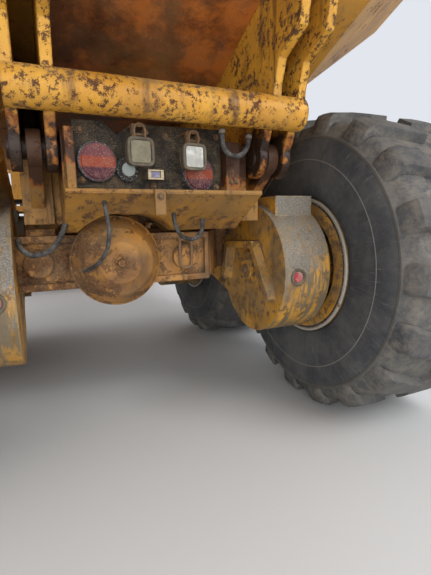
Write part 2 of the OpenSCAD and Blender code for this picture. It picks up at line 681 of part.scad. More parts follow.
fender_r = tyre_r + 120;
skirt_in = (cab_half + half_track - tyre_w / 2) / 2 - 17;
skirt_out = skirt_in + 40;
module fenders() color(yellow) both() {
  difference() {
    yz(skirt_out, 1700 - skirt_out) intersection() {
      difference() {
        union() {
          translate([front_y, axle_z]) circle(r = fender_r, $fn = 240);
          polygon([[front_y - 650, axle_z + fender_r - 50], [cab_front + 550, axle_z + fender_r - 50],
            [cab_front + 550, deck_z], [front_y - 650, deck_z]]);
        }
        translate([front_y, axle_z]) circle(r = fender_r - 40, $fn = 240);
      }
      polygon([[front_y - 1100, axle_z + 300], [front_y + 2500, axle_z + 300], [front_y + 2500, deck_z],
        [front_y - 1100, deck_z]]);
    }
  }
  span([skirt_in, front_y - 650, axle_z + 560], [skirt_out, cab_front + 550, deck_z]);
  for (y = [front_y - 640, front_y + 700]) span([rail_in + 60, y, rail_top - 100], [skirt_out, y + 90, rail_top]);
}

module steps() color(black) both() {
  for (x = [1020, 1480]) span([x, step_y, 480], [x + 25, step_y + 400, axle_z + fender_r - 50]);
  for (i = [0:3]) span([1045, step_y + 10 + i * 12, 520 + i * 330], [1480, step_y + 380, 550 + i * 330]);
}

module handrails() color(yellow) both() {
  for (y = [cab_front - 380, cab_front + 500]) translate([1650, y, deck_z]) cylinder(h = 950, r = 20);
  y_bar(cab_front - 380, cab_front + 500, 1650, deck_z + 950, 20);
  y_bar(cab_front - 380, cab_front + 500, 1650, deck_z + 480, 20);
}

module mirrors() color(black) both() {
  x_bar(cab_half, 1500, cab_front - 40, 2600, 22);
  span([1340, cab_front - 65, 2560], [1580, cab_front - 15, 3080]);
}

module exhaust() color(black) {
  translate([980, cab_front + 250, deck_z]) cylinder(h = 900, r = 110);
  translate([980, cab_front + 250, deck_z + 900]) cylinder(h = 850, r = 65);
}

module side_tanks() color(black) both() xz(nose_y - 1420, 920) polygon([[880, 760], [1370, 760], [1450, 840],
  [1450, 1480], [1370, 1560], [880, 1560]]);

// Steering cylinders: each barrel turns on the tractor, each rod's eye meets the hitch's pin
steer_dir = steer_eye - steer_base;
steer_len = norm(steer_dir);
steer_deg = atan2(steer_dir.y, steer_dir.x);
module on_steer() translate([steer_base.x, steer_base.y, steer_z]) rotate([0, 0, steer_deg]) children();
module steer_barrel() color(yellow) on_steer() difference() {
  union() {
    translate([0, 0, -45]) cylinder(h = 90, r = 62);
    x_bar(50, 100, 0, 0, 35);
    x_bar(98, 780, 0, 0, 65);
  }
  translate([0, 0, -60]) cylinder(h = 120, r = 32.5);
  x_bar(130, 781, 0, 0, 42);
}
module steer_rod() color(steel) on_steer() {
  x_bar(500, steer_len - 45, 0, 0, 35);
  x_bar(500, 550, 0, 0, 41.5);
  translate([steer_len, 0, -45]) cylinder(h = 90, r = 58);
}
module steer_barrel_right() steer_barrel();
module steer_barrel_left() mirror([1, 0, 0]) steer_barrel();
module steer_rod_right() steer_rod();
module steer_rod_left() mirror([1, 0, 0]) steer_rod();

rear_frame();
tail_panel();
rear_lamps();
work_lamps();
rear_axle();
middle_axle();
bogie_beams();
brake_guards();
rear_driveshafts();
rear_mudflaps();
cable_drop();
hose_left();
hose_right();
dump_body();
body_hinge();
hoist_barrels();
hoist_rods();
hitch();
front_frame();
front_axle();
engine_block();
radiator();
hood();
grille();
bumper();
headlamps();
cab_shell();
cab_glass();
cab_door();
door_glass();
seat();
steering_column();
fenders();
steps();
handrails();
mirrors();
exhaust();
side_tanks();
steer_barrel_left();
steer_barrel_right();
steer_rod_left();
steer_rod_right();
tyre(-1, front_y);  // tyre_front_left
tyre(1, front_y);  // tyre_front_right
tyre(-1, middle_y);  // tyre_middle_left
tyre(1, middle_y);  // tyre_middle_right
tyre(-1, rear_y);  // tyre_rear_left
tyre(1, rear_y);  // tyre_rear_right
rim(-1, front_y);  // rim_front_left
rim(1, front_y);  // rim_front_right
rim(-1, middle_y);  // rim_middle_left
rim(1, middle_y);  // rim_middle_right
rim(-1, rear_y);  // rim_rear_left
rim(1, rear_y);  // rim_rear_right
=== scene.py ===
import json
import math
import random
import bpy
from mathutils import Matrix, Vector


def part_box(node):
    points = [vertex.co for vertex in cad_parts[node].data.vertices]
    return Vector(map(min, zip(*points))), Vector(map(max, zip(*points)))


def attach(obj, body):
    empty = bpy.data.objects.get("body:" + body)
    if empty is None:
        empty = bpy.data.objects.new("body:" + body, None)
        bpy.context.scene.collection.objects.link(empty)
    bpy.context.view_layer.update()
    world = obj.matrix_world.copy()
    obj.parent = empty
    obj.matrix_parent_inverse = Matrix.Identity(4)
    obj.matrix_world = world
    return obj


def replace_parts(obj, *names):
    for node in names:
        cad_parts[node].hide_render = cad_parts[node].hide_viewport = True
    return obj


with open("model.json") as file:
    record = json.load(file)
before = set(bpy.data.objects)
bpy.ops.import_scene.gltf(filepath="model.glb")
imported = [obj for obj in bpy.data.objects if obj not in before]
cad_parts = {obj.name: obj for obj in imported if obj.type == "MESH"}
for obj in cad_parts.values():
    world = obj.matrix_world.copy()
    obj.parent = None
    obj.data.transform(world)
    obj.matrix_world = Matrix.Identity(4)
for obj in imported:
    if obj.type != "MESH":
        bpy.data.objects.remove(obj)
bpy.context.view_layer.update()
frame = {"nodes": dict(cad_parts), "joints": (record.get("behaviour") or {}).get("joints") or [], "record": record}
nodes = frame["nodes"]
joints = {j["name"]: j for j in frame["joints"]}
wheelSpots = {name[6:-5]: Vector(j["pos_m"]) for name, j in joints.items() if name.startswith("wheel_")}
rearY = wheelSpots["rear_right"].y
axleZ = wheelSpots["rear_right"].z
print("frame:", len(nodes), "nodes")

# Camera, at the height of a hand behind the truck's tail
camera = {"place": (-0.514, -5.869, 1.158), "yaw": 23.71, "down": 9.32, "roll": -1.149,
          "focalPixels": 398.9, "frameHeight": 575, "sensor": 36}


def makeCamera():
    yaw, down, roll = (math.radians(camera[k]) for k in ("yaw", "down", "roll"))
    ahead = Vector((math.sin(yaw) * math.cos(down), math.cos(yaw) * math.cos(down), -math.sin(down)))
    level = Vector((math.cos(yaw), -math.sin(yaw), 0))
    up = level.cross(ahead)
    right = math.cos(roll) * level + math.sin(roll) * up
    upright = math.cos(roll) * up - math.sin(roll) * level
    data = bpy.data.cameras.new("tailCamera")
    data.sensor_width = camera["sensor"]
    data.lens = camera["focalPixels"] / camera["frameHeight"] * camera["sensor"]
    data.clip_start = 0.05
    obj = bpy.data.objects.new("tailCamera", data)
    bpy.context.scene.collection.objects.link(obj)
    turned = Matrix((right, upright, -ahead)).transposed().to_4x4()
    obj.matrix_world = Matrix.Translation(camera["place"]) @ turned
    bpy.context.scene.camera = obj


makeCamera()
bpy.context.scene.view_settings.view_transform = "Standard"


# Node helpers: an input takes a socket or a plain value
def put(tree, kind, inputs=None, **settings):
    made = tree.nodes.new("ShaderNode" + kind)
    for key, value in settings.items():
        setattr(made, key, value)
    for key, value in (inputs or {}).items():
        if isinstance(value, bpy.types.NodeSocket):
            tree.links.new(value, made.inputs[key])
        else:
            made.inputs[key].default_value = value
    return made


def calc(tree, operation, *values, clamp=False):
    return put(tree, "Math", dict(enumerate(values)), operation=operation, use_clamp=clamp).outputs[0]


def plus(tree, a, b):
    return calc(tree, "ADD", a, b)


def minus(tree, a, b):
    return calc(tree, "SUBTRACT", a, b)


def times(tree, a, b, clamp=False):
    return calc(tree, "MULTIPLY", a, b, clamp=clamp)


def reachOf(tree, a, b):
    # How far a point lies from a middle, from its distances along two axes
    return calc(tree, "SQRT", plus(tree, times(tree, a, a), times(tree, b, b)))


def objectSpace(tree):
    return put(tree, "TexCoord").outputs["Object"]


def parts(tree, vector):
    return put(tree, "SeparateXYZ", {0: vector}).outputs


def mixColour(tree, factor, a, b, blend="MIX"):
    return put(tree, "Mix", {0: factor, 6: a, 7: b}, data_type="RGBA", blend_type=blend).outputs[2]


def ramp(tree, value, low, high, outLow=0.0, outHigh=1.0):
    return put(tree, "MapRange", {"Value": value, "From Min": low, "From Max": high, "To Min": outLow,
                                  "To Max": outHigh}, interpolation_type="SMOOTHSTEP").outputs["Result"]


def noiseOf(tree, where, scale, detail=4.0, roughness=0.55):
    return put(tree, "TexNoise", {"Vector": where, "Scale": scale, "Detail": detail,
                                  "Roughness": roughness}).outputs["Fac"]


def giveBump(tree, shader, height, depth, strength=0.5, **more):
    bump = put(tree, "Bump", {"Height": height, "Distance": depth, "Strength": strength, **more})
    tree.links.new(bump.outputs[0], shader["Normal"])


def tone(r, g, b):
    # A colour as the eye reads it, 0 to 255, turned to linear light
    return tuple(((c / 255 + 0.055) / 1.055) ** 2.4 if c > 10 else c / 3294 for c in (r, g, b)) + (1.0,)


def newGroup(name, ins, outs):
    tree = bpy.data.node_groups.new(name, "ShaderNodeTree")
    for label, value in ins.items():
        tree.interface.new_socket(label, in_out="INPUT", socket_type="NodeSocketFloat").default_value = value
    for label, kind in outs.items():
        tree.interface.new_socket(label, in_out="OUTPUT", socket_type="NodeSocket" + kind)
    return tree, tree.nodes.new("NodeGroupInput").outputs, tree.nodes.new("NodeGroupOutput").inputs


# Chips and rust blooms: islands of noise with crisp borders
def chipGroup():
    tree, given, result = newGroup("chippedPaint", {"Scale": 8, "Amount": 0.4},
                                   {"Mask": "Float", "Tint": "Float"})
    where = objectSpace(tree)
    broad = noiseOf(tree, where, given["Scale"], 5, 0.6)
    fine = noiseOf(tree, where, times(tree, given["Scale"], 7.0), 4, 0.6)
    both = calc(tree, "MULTIPLY_ADD", fine, 0.35, times(tree, broad, 0.65))
    cluster = noiseOf(tree, where, times(tree, given["Scale"], 0.21), 3, 0.5)
    edge = minus(tree, 0.70, times(tree, given["Amount"], 0.3))
    edge = plus(tree, edge, times(tree, minus(tree, 0.5, cluster), 0.26))
    lift = minus(tree, both, edge)
    tree.links.new(ramp(tree, lift, -0.012, 0.018), result["Mask"])
    tree.links.new(fine, result["Tint"])
    return tree


# Worn edges: where a rounded normal turns away from the flat one
def edgeGroup():
    tree, given, result = newGroup("wornEdges", {"Width": 0.008, "Amount": 0.6},
                                   {"Mask": "Float", "Normal": "Vector"})
    soft = put(tree, "Bevel", {"Radius": given["Width"]}, samples=4).outputs[0]
    flat = put(tree, "NewGeometry").outputs["Normal"]
    turn = put(tree, "VectorMath", {0: soft, 1: flat}, operation="DOT_PRODUCT").outputs["Value"]
    where = objectSpace(tree)
    broken = ramp(tree, noiseOf(tree, where, 22.0, 5, 0.65), 0.42, 0.58)
    edge = ramp(tree, minus(tree, 1.0, turn), 0.02, 0.16)
    worn = times(tree, times(tree, edge, broken), given["Amount"], clamp=True)
    tree.links.new(worn, result["Mask"])
    tree.links.new(soft, result["Normal"])
    return tree


# Dust that settles on what faces up and gathers low down
def dustGroup():
    tree, given, result = newGroup("settledDust", {"Amount": 0.5, "Everywhere": 0.25, "Scale": 5},
                                   {"Mask": "Float"})
    where = objectSpace(tree)
    up = parts(tree, put(tree, "NewGeometry").outputs["Normal"])["Z"]
    height = parts(tree, where)["Z"]
    patch = ramp(tree, noiseOf(tree, where, given["Scale"], 7, 0.66), 0.36, 0.64)
    low = ramp(tree, height, 1.5, 0.25)
    lying = plus(tree, ramp(tree, up, 0.15, 0.8), times(tree, low, 0.35))
    share = plus(tree, times(tree, lying, given["Amount"]), given["Everywhere"])
    tree.links.new(times(tree, share, patch, clamp=True), result["Mask"])
    return tree


# Runs of dirty water down an upright face
def streakGroup():
    tree, given, result = newGroup("runMarks", {"Scale": 14, "Amount": 0.5}, {"Mask": "Float"})
    where = objectSpace(tree)
    long = put(tree, "Mapping", {"Vector": where, "Scale": (1.0, 1.0, 0.09)}).outputs[0]
    runs = ramp(tree, noiseOf(tree, long, given["Scale"], 5, 0.7), 0.5, 0.68)
    fade = ramp(tree, noiseOf(tree, where, 2.2, 3), 0.38, 0.6)
    tree.links.new(times(tree, times(tree, runs, fade), given["Amount"], clamp=True),
                   result["Mask"])
    return tree


# Fine grain of cast, sprayed and gritty surfaces
def grainGroup():
    tree, given, result = newGroup("fineGrain", {"Scale": 260, "Lump": 20}, {"Height": "Float"})
    where = objectSpace(tree)
    fine = noiseOf(tree, where, given["Scale"], 3, 0.6)
    lumps = noiseOf(tree, where, given["Lump"], 4, 0.5)
    tree.links.new(calc(tree, "MULTIPLY_ADD", lumps, 1.4, fine), result["Height"])
    return tree


# Small round splashes of pale mud
def splashGroup():
    tree, given, result = newGroup("mudSplash", {"Scale": 60, "Amount": 0.5}, {"Mask": "Float"})
    where = objectSpace(tree)
    near = put(tree, "TexVoronoi", {"Vector": where, "Scale": given["Scale"], "Randomness": 1.0})
    size = times(tree, noiseOf(tree, where, 9.0, 3), given["Amount"])
    spot = minus(tree, size, near.outputs["Distance"])
    tree.links.new(ramp(tree, spot, -0.02, 0.08), result["Mask"])
    return tree


# Where each kind of wear begins and where it is full, in metres
marks = {"plates": (0.46, 0.40), "drumEdge": (0.345, 0.355), "trayFloor": (1.868, 1.872),
         "trayLow": (2.75, 2.6), "frontWall": (-0.9, -0.7), "loadMark": (3.45, 3.2), "grease": (0.125, 0.10),
         "fringe": (0.155, 0.125)}


# Burnt rust on what faces down between the hinge plates
def burntGroup():
    tree, given, result = newGroup("burntUnderside", {"Amount": 1.0},
                                   {"Mask": "Float", "Tint": "Float", "Soot": "Float"})
    where = objectSpace(tree)
    place = parts(tree, where)
    facing = parts(tree, put(tree, "TexCoord").outputs["Normal"])
    down = ramp(tree, facing["Z"], -0.2, -0.6)
    middle = ramp(tree, calc(tree, "ABSOLUTE", place["X"]), *marks["plates"])
    patch = ramp(tree, noiseOf(tree, where, 1.7, 7, 0.62), 0.30, 0.52)
    mask = times(tree, times(tree, down, middle), calc(tree, "MULTIPLY_ADD", patch, 0.35, 0.65))
    tree.links.new(times(tree, mask, given["Amount"], clamp=True), result["Mask"])
    tree.links.new(ramp(tree, noiseOf(tree, where, 3.4, 9, 0.72), 0.40, 0.60), result["Tint"])
    tree.links.new(ramp(tree, noiseOf(tree, where, 2.1, 8, 0.68), 0.50, 0.66), result["Soot"])
    return tree


# Grey dust caked on the drums' round face, scraped off in slanting streaks lower down
def cakeGroup():
    tree, given, result = newGroup("cakedDust", {"Level": 0.86},
                                   {"Mask": "Float", "Scrape": "Float", "Grit": "Float"})
    where = objectSpace(tree)
    place = parts(tree, where)
    across = calc(tree, "ABSOLUTE", parts(tree, put(tree, "NewGeometry").outputs["Normal"])["X"])
    nearRear = calc(tree, "LESS_THAN", place["Y"], (rearY + wheelSpots["middle_right"].y) / 2)
    middleY = wheelSpots["middle_right"].y
    hubY = calc(tree, "MULTIPLY_ADD", nearRear, rearY - middleY, middleY)
    dy = minus(tree, place["Y"], hubY)
    dz = minus(tree, place["Z"], axleZ)
    reach = reachOf(tree, dy, dz)
    rounded = times(tree, ramp(tree, across, 0.4, 0.2), ramp(tree, reach, *marks["drumEdge"]))
    wander = times(tree, minus(tree, noiseOf(tree, where, 7.0, 7, 0.7), 0.5), 0.9)
    lean = times(tree, minus(tree, calc(tree, "ABSOLUTE", place["X"]), 0.7), 0.8)
    height = minus(tree, plus(tree, place["Z"], wander), lean)
    share = ramp(tree, minus(tree, height, given["Level"]), -0.08, 0.10)
    fine = put(tree, "Mapping", {"Vector": where, "Rotation": (0.0, 0.25, 0.0),
                                 "Scale": (60.0, 8.0, 9.0)}).outputs[0]
    bare = times(tree, ramp(tree, noiseOf(tree, fine, 1.0, 5, 0.7), 0.53, 0.62), 0.85)
    share = times(tree, share, minus(tree, 1.0, bare))
    tree.links.new(times(tree, share, rounded), result["Mask"])
    slant = put(tree, "Mapping", {"Vector": where, "Rotation": (0.0, 0.62, 0.0),
                                  "Scale": (34.0, 3.0, 4.5)}).outputs[0]
    tree.links.new(times(tree, ramp(tree, noiseOf(tree, slant, 1.0, 5, 0.7), 0.44, 0.56), rounded),
                   result["Scrape"])
    tree.links.new(ramp(tree, noiseOf(tree, where, 130.0, 4, 0.7), 0.36, 0.64), result["Grit"])
    return tree


# Bare steel inside the dump body, scraped lengthwise by its loads
def scrapedGroup():
    tree, given, result = newGroup("scrapedSteel", {"Amount": 1.0},
                                   {"Mask": "Float", "Tint": "Float", "Rust": "Float"})
    where = objectSpace(tree)
    place = parts(tree, where)
    facing = parts(tree, put(tree, "TexCoord").outputs["Normal"])
    inward = times(tree, times(tree, facing["X"], calc(tree, "SIGN", place["X"])), -1.0)
    walls = ramp(tree, inward, 0.1, 0.25)
    floorPart = times(tree, ramp(tree, facing["Z"], 0.3, 0.5), ramp(tree, place["Z"], *marks["trayLow"]))
    front = times(tree, ramp(tree, facing["Y"], -0.1, -0.3), ramp(tree, place["Y"], *marks["frontWall"]))
    inside = calc(tree, "MAXIMUM", calc(tree, "MAXIMUM", walls, floorPart), front)
    inside = times(tree, inside, ramp(tree, place["Z"], *marks["trayFloor"]))
    height = plus(tree, place["Z"], times(tree, noiseOf(tree, where, 3.0, 7, 0.7), 0.9))
    left = times(tree, inside, ramp(tree, height, *marks["loadMark"]))
    tree.links.new(times(tree, left, given["Amount"]), result["Mask"])
    dragged = put(tree, "Mapping", {"Vector": where, "Scale": (16.0, 0.8, 16.0)}).outputs[0]
    tree.links.new(ramp(tree, noiseOf(tree, dragged, 1.0, 7, 0.7), 0.36, 0.64), result["Tint"])
    tree.links.new(ramp(tree, noiseOf(tree, where, 2.6, 9, 0.72), 0.50, 0.62), result["Rust"])
    return tree


# Black grease thrown out round the body's tip pins
def greaseGroup():
    tree, given, result = newGroup("pinGrease", {"Amount": 1.0}, {"Mask": "Float", "Fringe": "Float"})
    where = objectSpace(tree)
    place = parts(tree, where)
    pin = joints["body_tip"]["pos_m"]
    dy = minus(tree, place["Y"], pin[1])
    dz = minus(tree, place["Z"], pin[2])
    reach = reachOf(tree, dy, dz)
    ragged = times(tree, minus(tree, noiseOf(tree, where, 9.0, 7, 0.7), 0.5), 0.3)
    edge = plus(tree, reach, ragged)
    tree.links.new(times(tree, ramp(tree, edge, *marks["grease"]), given["Amount"]), result["Mask"])
    tree.links.new(times(tree, ramp(tree, edge, *marks["fringe"]), 0.8), result["Fringe"])
    return tree


effects = {"scraped": scrapedGroup(), "grease": greaseGroup(), "burnt": burntGroup(), "cake": cakeGroup(),
           "chips": chipGroup(), "edges": edgeGroup(), "dust": dustGroup(), "streaks": streakGroup(),
           "grain": grainGroup(), "splash": splashGroup()}


def effect(tree, name, **values):
    made = tree.nodes.new("ShaderNodeGroup")
    made.node_tree = effects[name]
    for key, value in values.items():
        made.inputs[key].default_value = value
    return made.outputs


def newMaterial(name):
    material = bpy.data.materials.new(name)
    material.use_nodes = True
    tree = material.node_tree
    return material, tree, tree.nodes["Principled BSDF"].inputs


# Metal under weather: base tones, runs, chips, worn edges, mud and dust, in that order
def weathered(name, look):
    material, tree, shader = newMaterial(name)
    where = objectSpace(tree)
    patches = ramp(tree, noiseOf(tree, where, look.get("patch", 1.8), 6, 0.6), 0.35, 0.65)
    colour = mixColour(tree, patches, look["light"], look["dark"])
    runs = effect(tree, "streaks", Scale=look.get("runScale", 14), Amount=look.get("runs", 0.4))
    colour = mixColour(tree, runs["Mask"], colour, look["stain"])
    chips = effect(tree, "chips", Scale=look.get("chipScale", 8), Amount=look.get("chips", 0.4))
    rustTone = mixColour(tree, ramp(tree, chips["Tint"], 0.35, 0.65), look["rust"], look["rustPale"])
    colour = mixColour(tree, chips["Mask"], colour, rustTone)
    if "burnt" in look:
        burnt = effect(tree, "burnt", Amount=look["burnt"])
        scorched = mixColour(tree, burnt["Tint"], tone(112, 62, 30), tone(196, 112, 44))
        scorched = mixColour(tree, times(tree, burnt["Soot"], 0.75), scorched, tone(62, 38, 26))
        colour = mixColour(tree, burnt["Mask"], colour, scorched)
    if "cake" in look:
        cake = effect(tree, "cake", Level=look["cake"])
        scuffed = mixColour(tree, cake["Scrape"], colour, tone(112, 98, 76))
        grey = mixColour(tree, cake["Grit"], tone(98, 93, 84), tone(138, 132, 122))
        colour = mixColour(tree, cake["Mask"], scuffed, grey)
    if "scraped" in look:
        scraped = effect(tree, "scraped", Amount=look["scraped"])
        steel = mixColour(tree, scraped["Tint"], tone(96, 88, 78), tone(134, 128, 118))
        steel = mixColour(tree, times(tree, scraped["Rust"], 0.7), steel, tone(112, 76, 48))
        colour = mixColour(tree, scraped["Mask"], colour, steel)
    edges = effect(tree, "edges", Width=look.get("edge", 0.008), Amount=look.get("wear", 0.7))
    colour = mixColour(tree, edges["Mask"], colour, look.get("bare", look["rust"]))
    mud = effect(tree, "splash", Scale=look.get("splashScale", 45), Amount=look.get("splash", 0.25))
    colour = mixColour(tree, mud["Mask"], colour, look["dustTone"])
    dust = effect(tree, "dust", Amount=look.get("dust", 0.4), Everywhere=look.get("haze", 0.15),
                  Scale=look.get("dustScale", 5))
    colour = mixColour(tree, dust["Mask"], colour, look["dustTone"])
    if "grease" in look:
        grease = effect(tree, "grease", Amount=look["grease"])
        colour = mixColour(tree, grease["Fringe"], colour, tone(140, 78, 28))
        colour = mixColour(tree, grease["Mask"], colour, tone(28, 19, 14))
    tree.links.new(colour, shader["Base Color"])
    matt = calc(tree, "MAXIMUM", chips["Mask"], dust["Mask"])
    tree.links.new(ramp(tree, matt, 0, 1, look.get("gloss", 0.5), 0.92), shader["Roughness"])
    shader["Metallic"].default_value = look.get("metal", 0.0)
    shader["Specular IOR Level"].default_value = look.get("shine", 0.4)
    grain = effect(tree, "grain", Scale=look.get("grain", 260), Lump=look.get("lump", 18))
    height = minus(tree, grain["Height"], times(tree, chips["Mask"], look.get("pit", 0.8)))
    height = plus(tree, height, times(tree, mud["Mask"], 0.6))
    giveBump(tree, shader, height, look.get("depth", 0.0012), 0.6, Normal=edges["Normal"])
    return material


paleDust = tone(150, 142, 130)
greyMud = tone(128, 124, 118)
deepRust = tone(74, 44, 26)
paleRust = tone(122, 76, 42)
finishes = {
    "yellow_paint": weathered("yellowPaint", {
        "light": tone(212, 154, 56), "dark": tone(182, 126, 46), "stain": tone(110, 76, 42),
        "rust": deepRust, "rustPale": paleRust, "dustTone": tone(156, 138, 108), "chips": 0.32,
        "chipScale": 18, "runs": 0.75, "dust": 0.5, "haze": 0.16, "gloss": 0.45}),
    "body_paint": weathered("bodyPaint", {
        "light": tone(204, 148, 56), "dark": tone(168, 116, 44), "stain": tone(92, 62, 34), "rust": deepRust,
        "rustPale": paleRust, "dustTone": tone(150, 130, 98), "chips": 0.4, "chipScale": 16, "runs": 0.95,
        "dust": 0.42, "haze": 0.2, "gloss": 0.5, "burnt": 1.0, "scraped": 1.0}),
    "hinge_paint": weathered("hingePaint", {
        "light": tone(218, 160, 52), "dark": tone(184, 128, 40), "stain": tone(84, 54, 30),
        "rust": tone(62, 38, 24), "rustPale": tone(104, 66, 36), "dustTone": tone(158, 134, 92),
        "chips": 0.53, "chipScale": 44, "runs": 0.8, "dust": 0.3, "haze": 0.14, "gloss": 0.42, "patch": 3.0,
        "grease": 0.95, "edge": 0.011}),
    "frame_paint": weathered("framePaint", {
        "light": tone(172, 122, 46), "dark": tone(128, 90, 40), "stain": tone(66, 46, 28),
        "rust": tone(64, 42, 26), "rustPale": tone(108, 72, 40), "dustTone": tone(128, 108, 78),
        "chips": 0.52, "chipScale": 20, "runs": 0.95, "dust": 0.45, "haze": 0.28, "gloss": 0.6, "patch": 3.2,
        "grease": 0.85}),
    "worn_guard": weathered("guardPaint", {
        "light": tone(206, 148, 44), "dark": tone(142, 104, 48), "stain": tone(92, 70, 44),
        "rust": tone(84, 60, 38), "rustPale": tone(126, 94, 56), "dustTone": tone(134, 120, 96),
        "chips": 0.52, "chipScale": 20, "runs": 0.9, "dust": 0.35, "haze": 0.32, "dustScale": 6,
        "gloss": 0.6, "cake": 0.86, "patch": 5.0, "edge": 0.014, "wear": 0.9, "bare": tone(182, 160, 118)}),
    "rusty_casting": weathered("rustyCasting", {
        "light": tone(176, 122, 52), "dark": tone(112, 76, 42), "stain": tone(56, 42, 32),
        "rust": tone(66, 44, 30), "rustPale": tone(112, 78, 46), "dustTone": tone(134, 116, 88),
        "chips": 0.62, "chipScale": 10, "runs": 0.8, "dust": 0.45, "haze": 0.16, "dustScale": 8,
        "gloss": 0.62, "lump": 30, "depth": 0.002, "patch": 4.2}),
    "black_steel": weathered("blackSteel", {
        "light": tone(46, 46, 48), "dark": tone(32, 32, 34), "stain": tone(60, 52, 44), "rust": deepRust,
        "rustPale": paleRust, "dustTone": paleDust, "chips": 0.2, "chipScale": 12, "runs": 0.4, "dust": 0.45,
        "haze": 0.2, "gloss": 0.5}),
    "black_plastic": weathered("blackPlastic", {
        "light": tone(38, 38, 40), "dark": tone(26, 26, 29), "stain": tone(52, 48, 44),
        "rust": tone(60, 56, 52), "rustPale": tone(84, 80, 76), "dustTone": tone(150, 148, 144),
        "chips": 0.15, "chipScale": 14, "runs": 0.3, "dust": 0.4, "haze": 0.12, "splash": 0.6,
        "splashScale": 120, "gloss": 0.5, "wear": 0.3, "bare": tone(90, 88, 84)}),
    "rod_steel": weathered("rodSteel", {
        "light": tone(190, 190, 188), "dark": tone(168, 168, 166), "stain": tone(120, 112, 100),
        "rust": tone(110, 92, 74), "rustPale": tone(150, 136, 118), "dustTone": paleDust, "chips": 0.05,
        "runs": 0.2, "dust": 0.2, "haze": 0.05, "gloss": 0.18, "metal": 1.0, "depth": 0.0003}),
    "hose_rubber": weathered("hoseRubber", {
        "light": tone(48, 46, 44), "dark": tone(34, 33, 33), "stain": tone(70, 62, 54),
        "rust": tone(60, 54, 48), "rustPale": tone(96, 88, 78), "dustTone": greyMud, "chips": 0.3,
        "chipScale": 30, "dust": 0.4, "haze": 0.3, "dustScale": 20, "gloss": 0.7, "edge": 0.002}),
}
print("finishes:", len(finishes))


# Rubber: radius and turn come from the map, so scratches run out from the hub
sidewall = {"line": 0.623, "band": 0.748, "treads": (0.74, 0.78), "gaps": (0.872, 0.846)}


def tyreMaterial():
    material, tree, shader = newMaterial("tyreRubber")
    where = put(tree, "TexCoord").outputs
    turnRadius = parts(tree, where["UV"])
    base = mixColour(tree, ramp(tree, noiseOf(tree, where["Object"], 3.0, 6, 0.65), 0.35, 0.65),
                     tone(58, 61, 66),
                     tone(82, 84, 86))
    combed = put(tree, "Mapping", {"Vector": where["UV"], "Scale": (260.0, 9.0, 1.0)}).outputs[0]
    hairs = ramp(tree, noiseOf(tree, combed, 1.0, 6, 0.75), 0.54, 0.68)
    colour = mixColour(tree, times(tree, hairs, 0.42), base, tone(132, 130, 126))
    # A pale ring along the sidewall's thin rib: partly settled dust, partly a painted highlight on the rib
    line = calc(tree, "ABSOLUTE", minus(tree, turnRadius["Y"], sidewall["line"]))
    colour = mixColour(tree, times(tree, ramp(tree, line, 0.004, 0.0015), 0.6), colour, tone(150, 146, 138))
    treads = ramp(tree, turnRadius["Y"], *sidewall["treads"])
    sunk = times(tree, treads, ramp(tree, turnRadius["Y"], *sidewall["gaps"]))
    coarse = ramp(tree, noiseOf(tree, where["Object"], 15.0, 9, 0.78), 0.34, 0.72)
    share = plus(tree, times(tree, sunk, 0.6), calc(tree, "MULTIPLY_ADD", treads, 0.45, 0.16))
    colour = mixColour(tree, times(tree, share, coarse), colour, tone(118, 112, 103))
    band = ramp(tree, calc(tree, "ABSOLUTE", minus(tree, turnRadius["Y"], sidewall["band"])), 0.014, 0.004)
    colour = mixColour(tree, times(tree, band, 0.35), colour, tone(112, 104, 92))
    nicks = put(tree, "Mapping", {"Vector": where["UV"], "Scale": (60.0, 46.0, 1.0)}).outputs[0]
    nick = ramp(tree, noiseOf(tree, nicks, 1.0, 8, 0.8), 0.62, 0.68)
    colour = mixColour(tree, times(tree, nick, 0.5), colour, tone(138, 134, 126))
    dust = effect(tree, "dust", Amount=0.35, Everywhere=0.18, Scale=6)
    colour = mixColour(tree, times(tree, dust["Mask"], 0.7), colour, tone(112, 108, 100))
    tree.links.new(colour, shader["Base Color"])
    shader["Roughness"].default_value = 0.82
    shader["Specular IOR Level"].default_value = 0.3
    grain = effect(tree, "grain", Scale=220, Lump=45)
    height = plus(tree, grain["Height"], times(tree, hairs, 0.5))
    giveBump(tree, shader, height, 0.002, 0.7)
    return material


def lensMaterial(name, bands, rough=0.25):
    # Bands are heights above the lamp's middle and their colours, from below upwards
    material, tree, shader = newMaterial(name)
    where = objectSpace(tree)
    height = parts(tree, where)["Z"]
    colour = bands[0][1]
    for level, shade in bands[1:]:
        colour = mixColour(tree, ramp(tree, height, level - 0.002, level + 0.002), colour, shade)
    mud = effect(tree, "splash", Scale=150, Amount=0.62)
    film = ramp(tree, noiseOf(tree, where, 16.0, 6, 0.7), 0.4, 0.68)
    dirty = calc(tree, "MAXIMUM", times(tree, mud["Mask"], 0.7), times(tree, film, 0.5))
    tree.links.new(mixColour(tree, dirty, colour, tone(176, 160, 150)), shader["Base Color"])
    tree.links.new(ramp(tree, dirty, 0, 0.6, rough, 0.8), shader["Roughness"])
    shader["Coat Weight"].default_value = 0.3
    facets = put(tree, "TexVoronoi", {"Vector": where, "Scale": 180.0}).outputs["Distance"]
    giveBump(tree, shader, facets, 0.002)
    return material


def glassMaterial():
    material, tree, shader = newMaterial("windowGlass")
    where = objectSpace(tree)
    film = ramp(tree, noiseOf(tree, where, 4.0, 7, 0.7), 0.42, 0.7)
    tree.links.new(mixColour(tree, times(tree, film, 0.5), tone(196, 212, 212), tone(170, 164, 150)),
                   shader["Base Color"])
    tree.links.new(ramp(tree, film, 0, 1, 0.03, 0.3), shader["Roughness"])
    shader["Transmission Weight"].default_value = 0.9
    shader["IOR"].default_value = 1.45
    return material


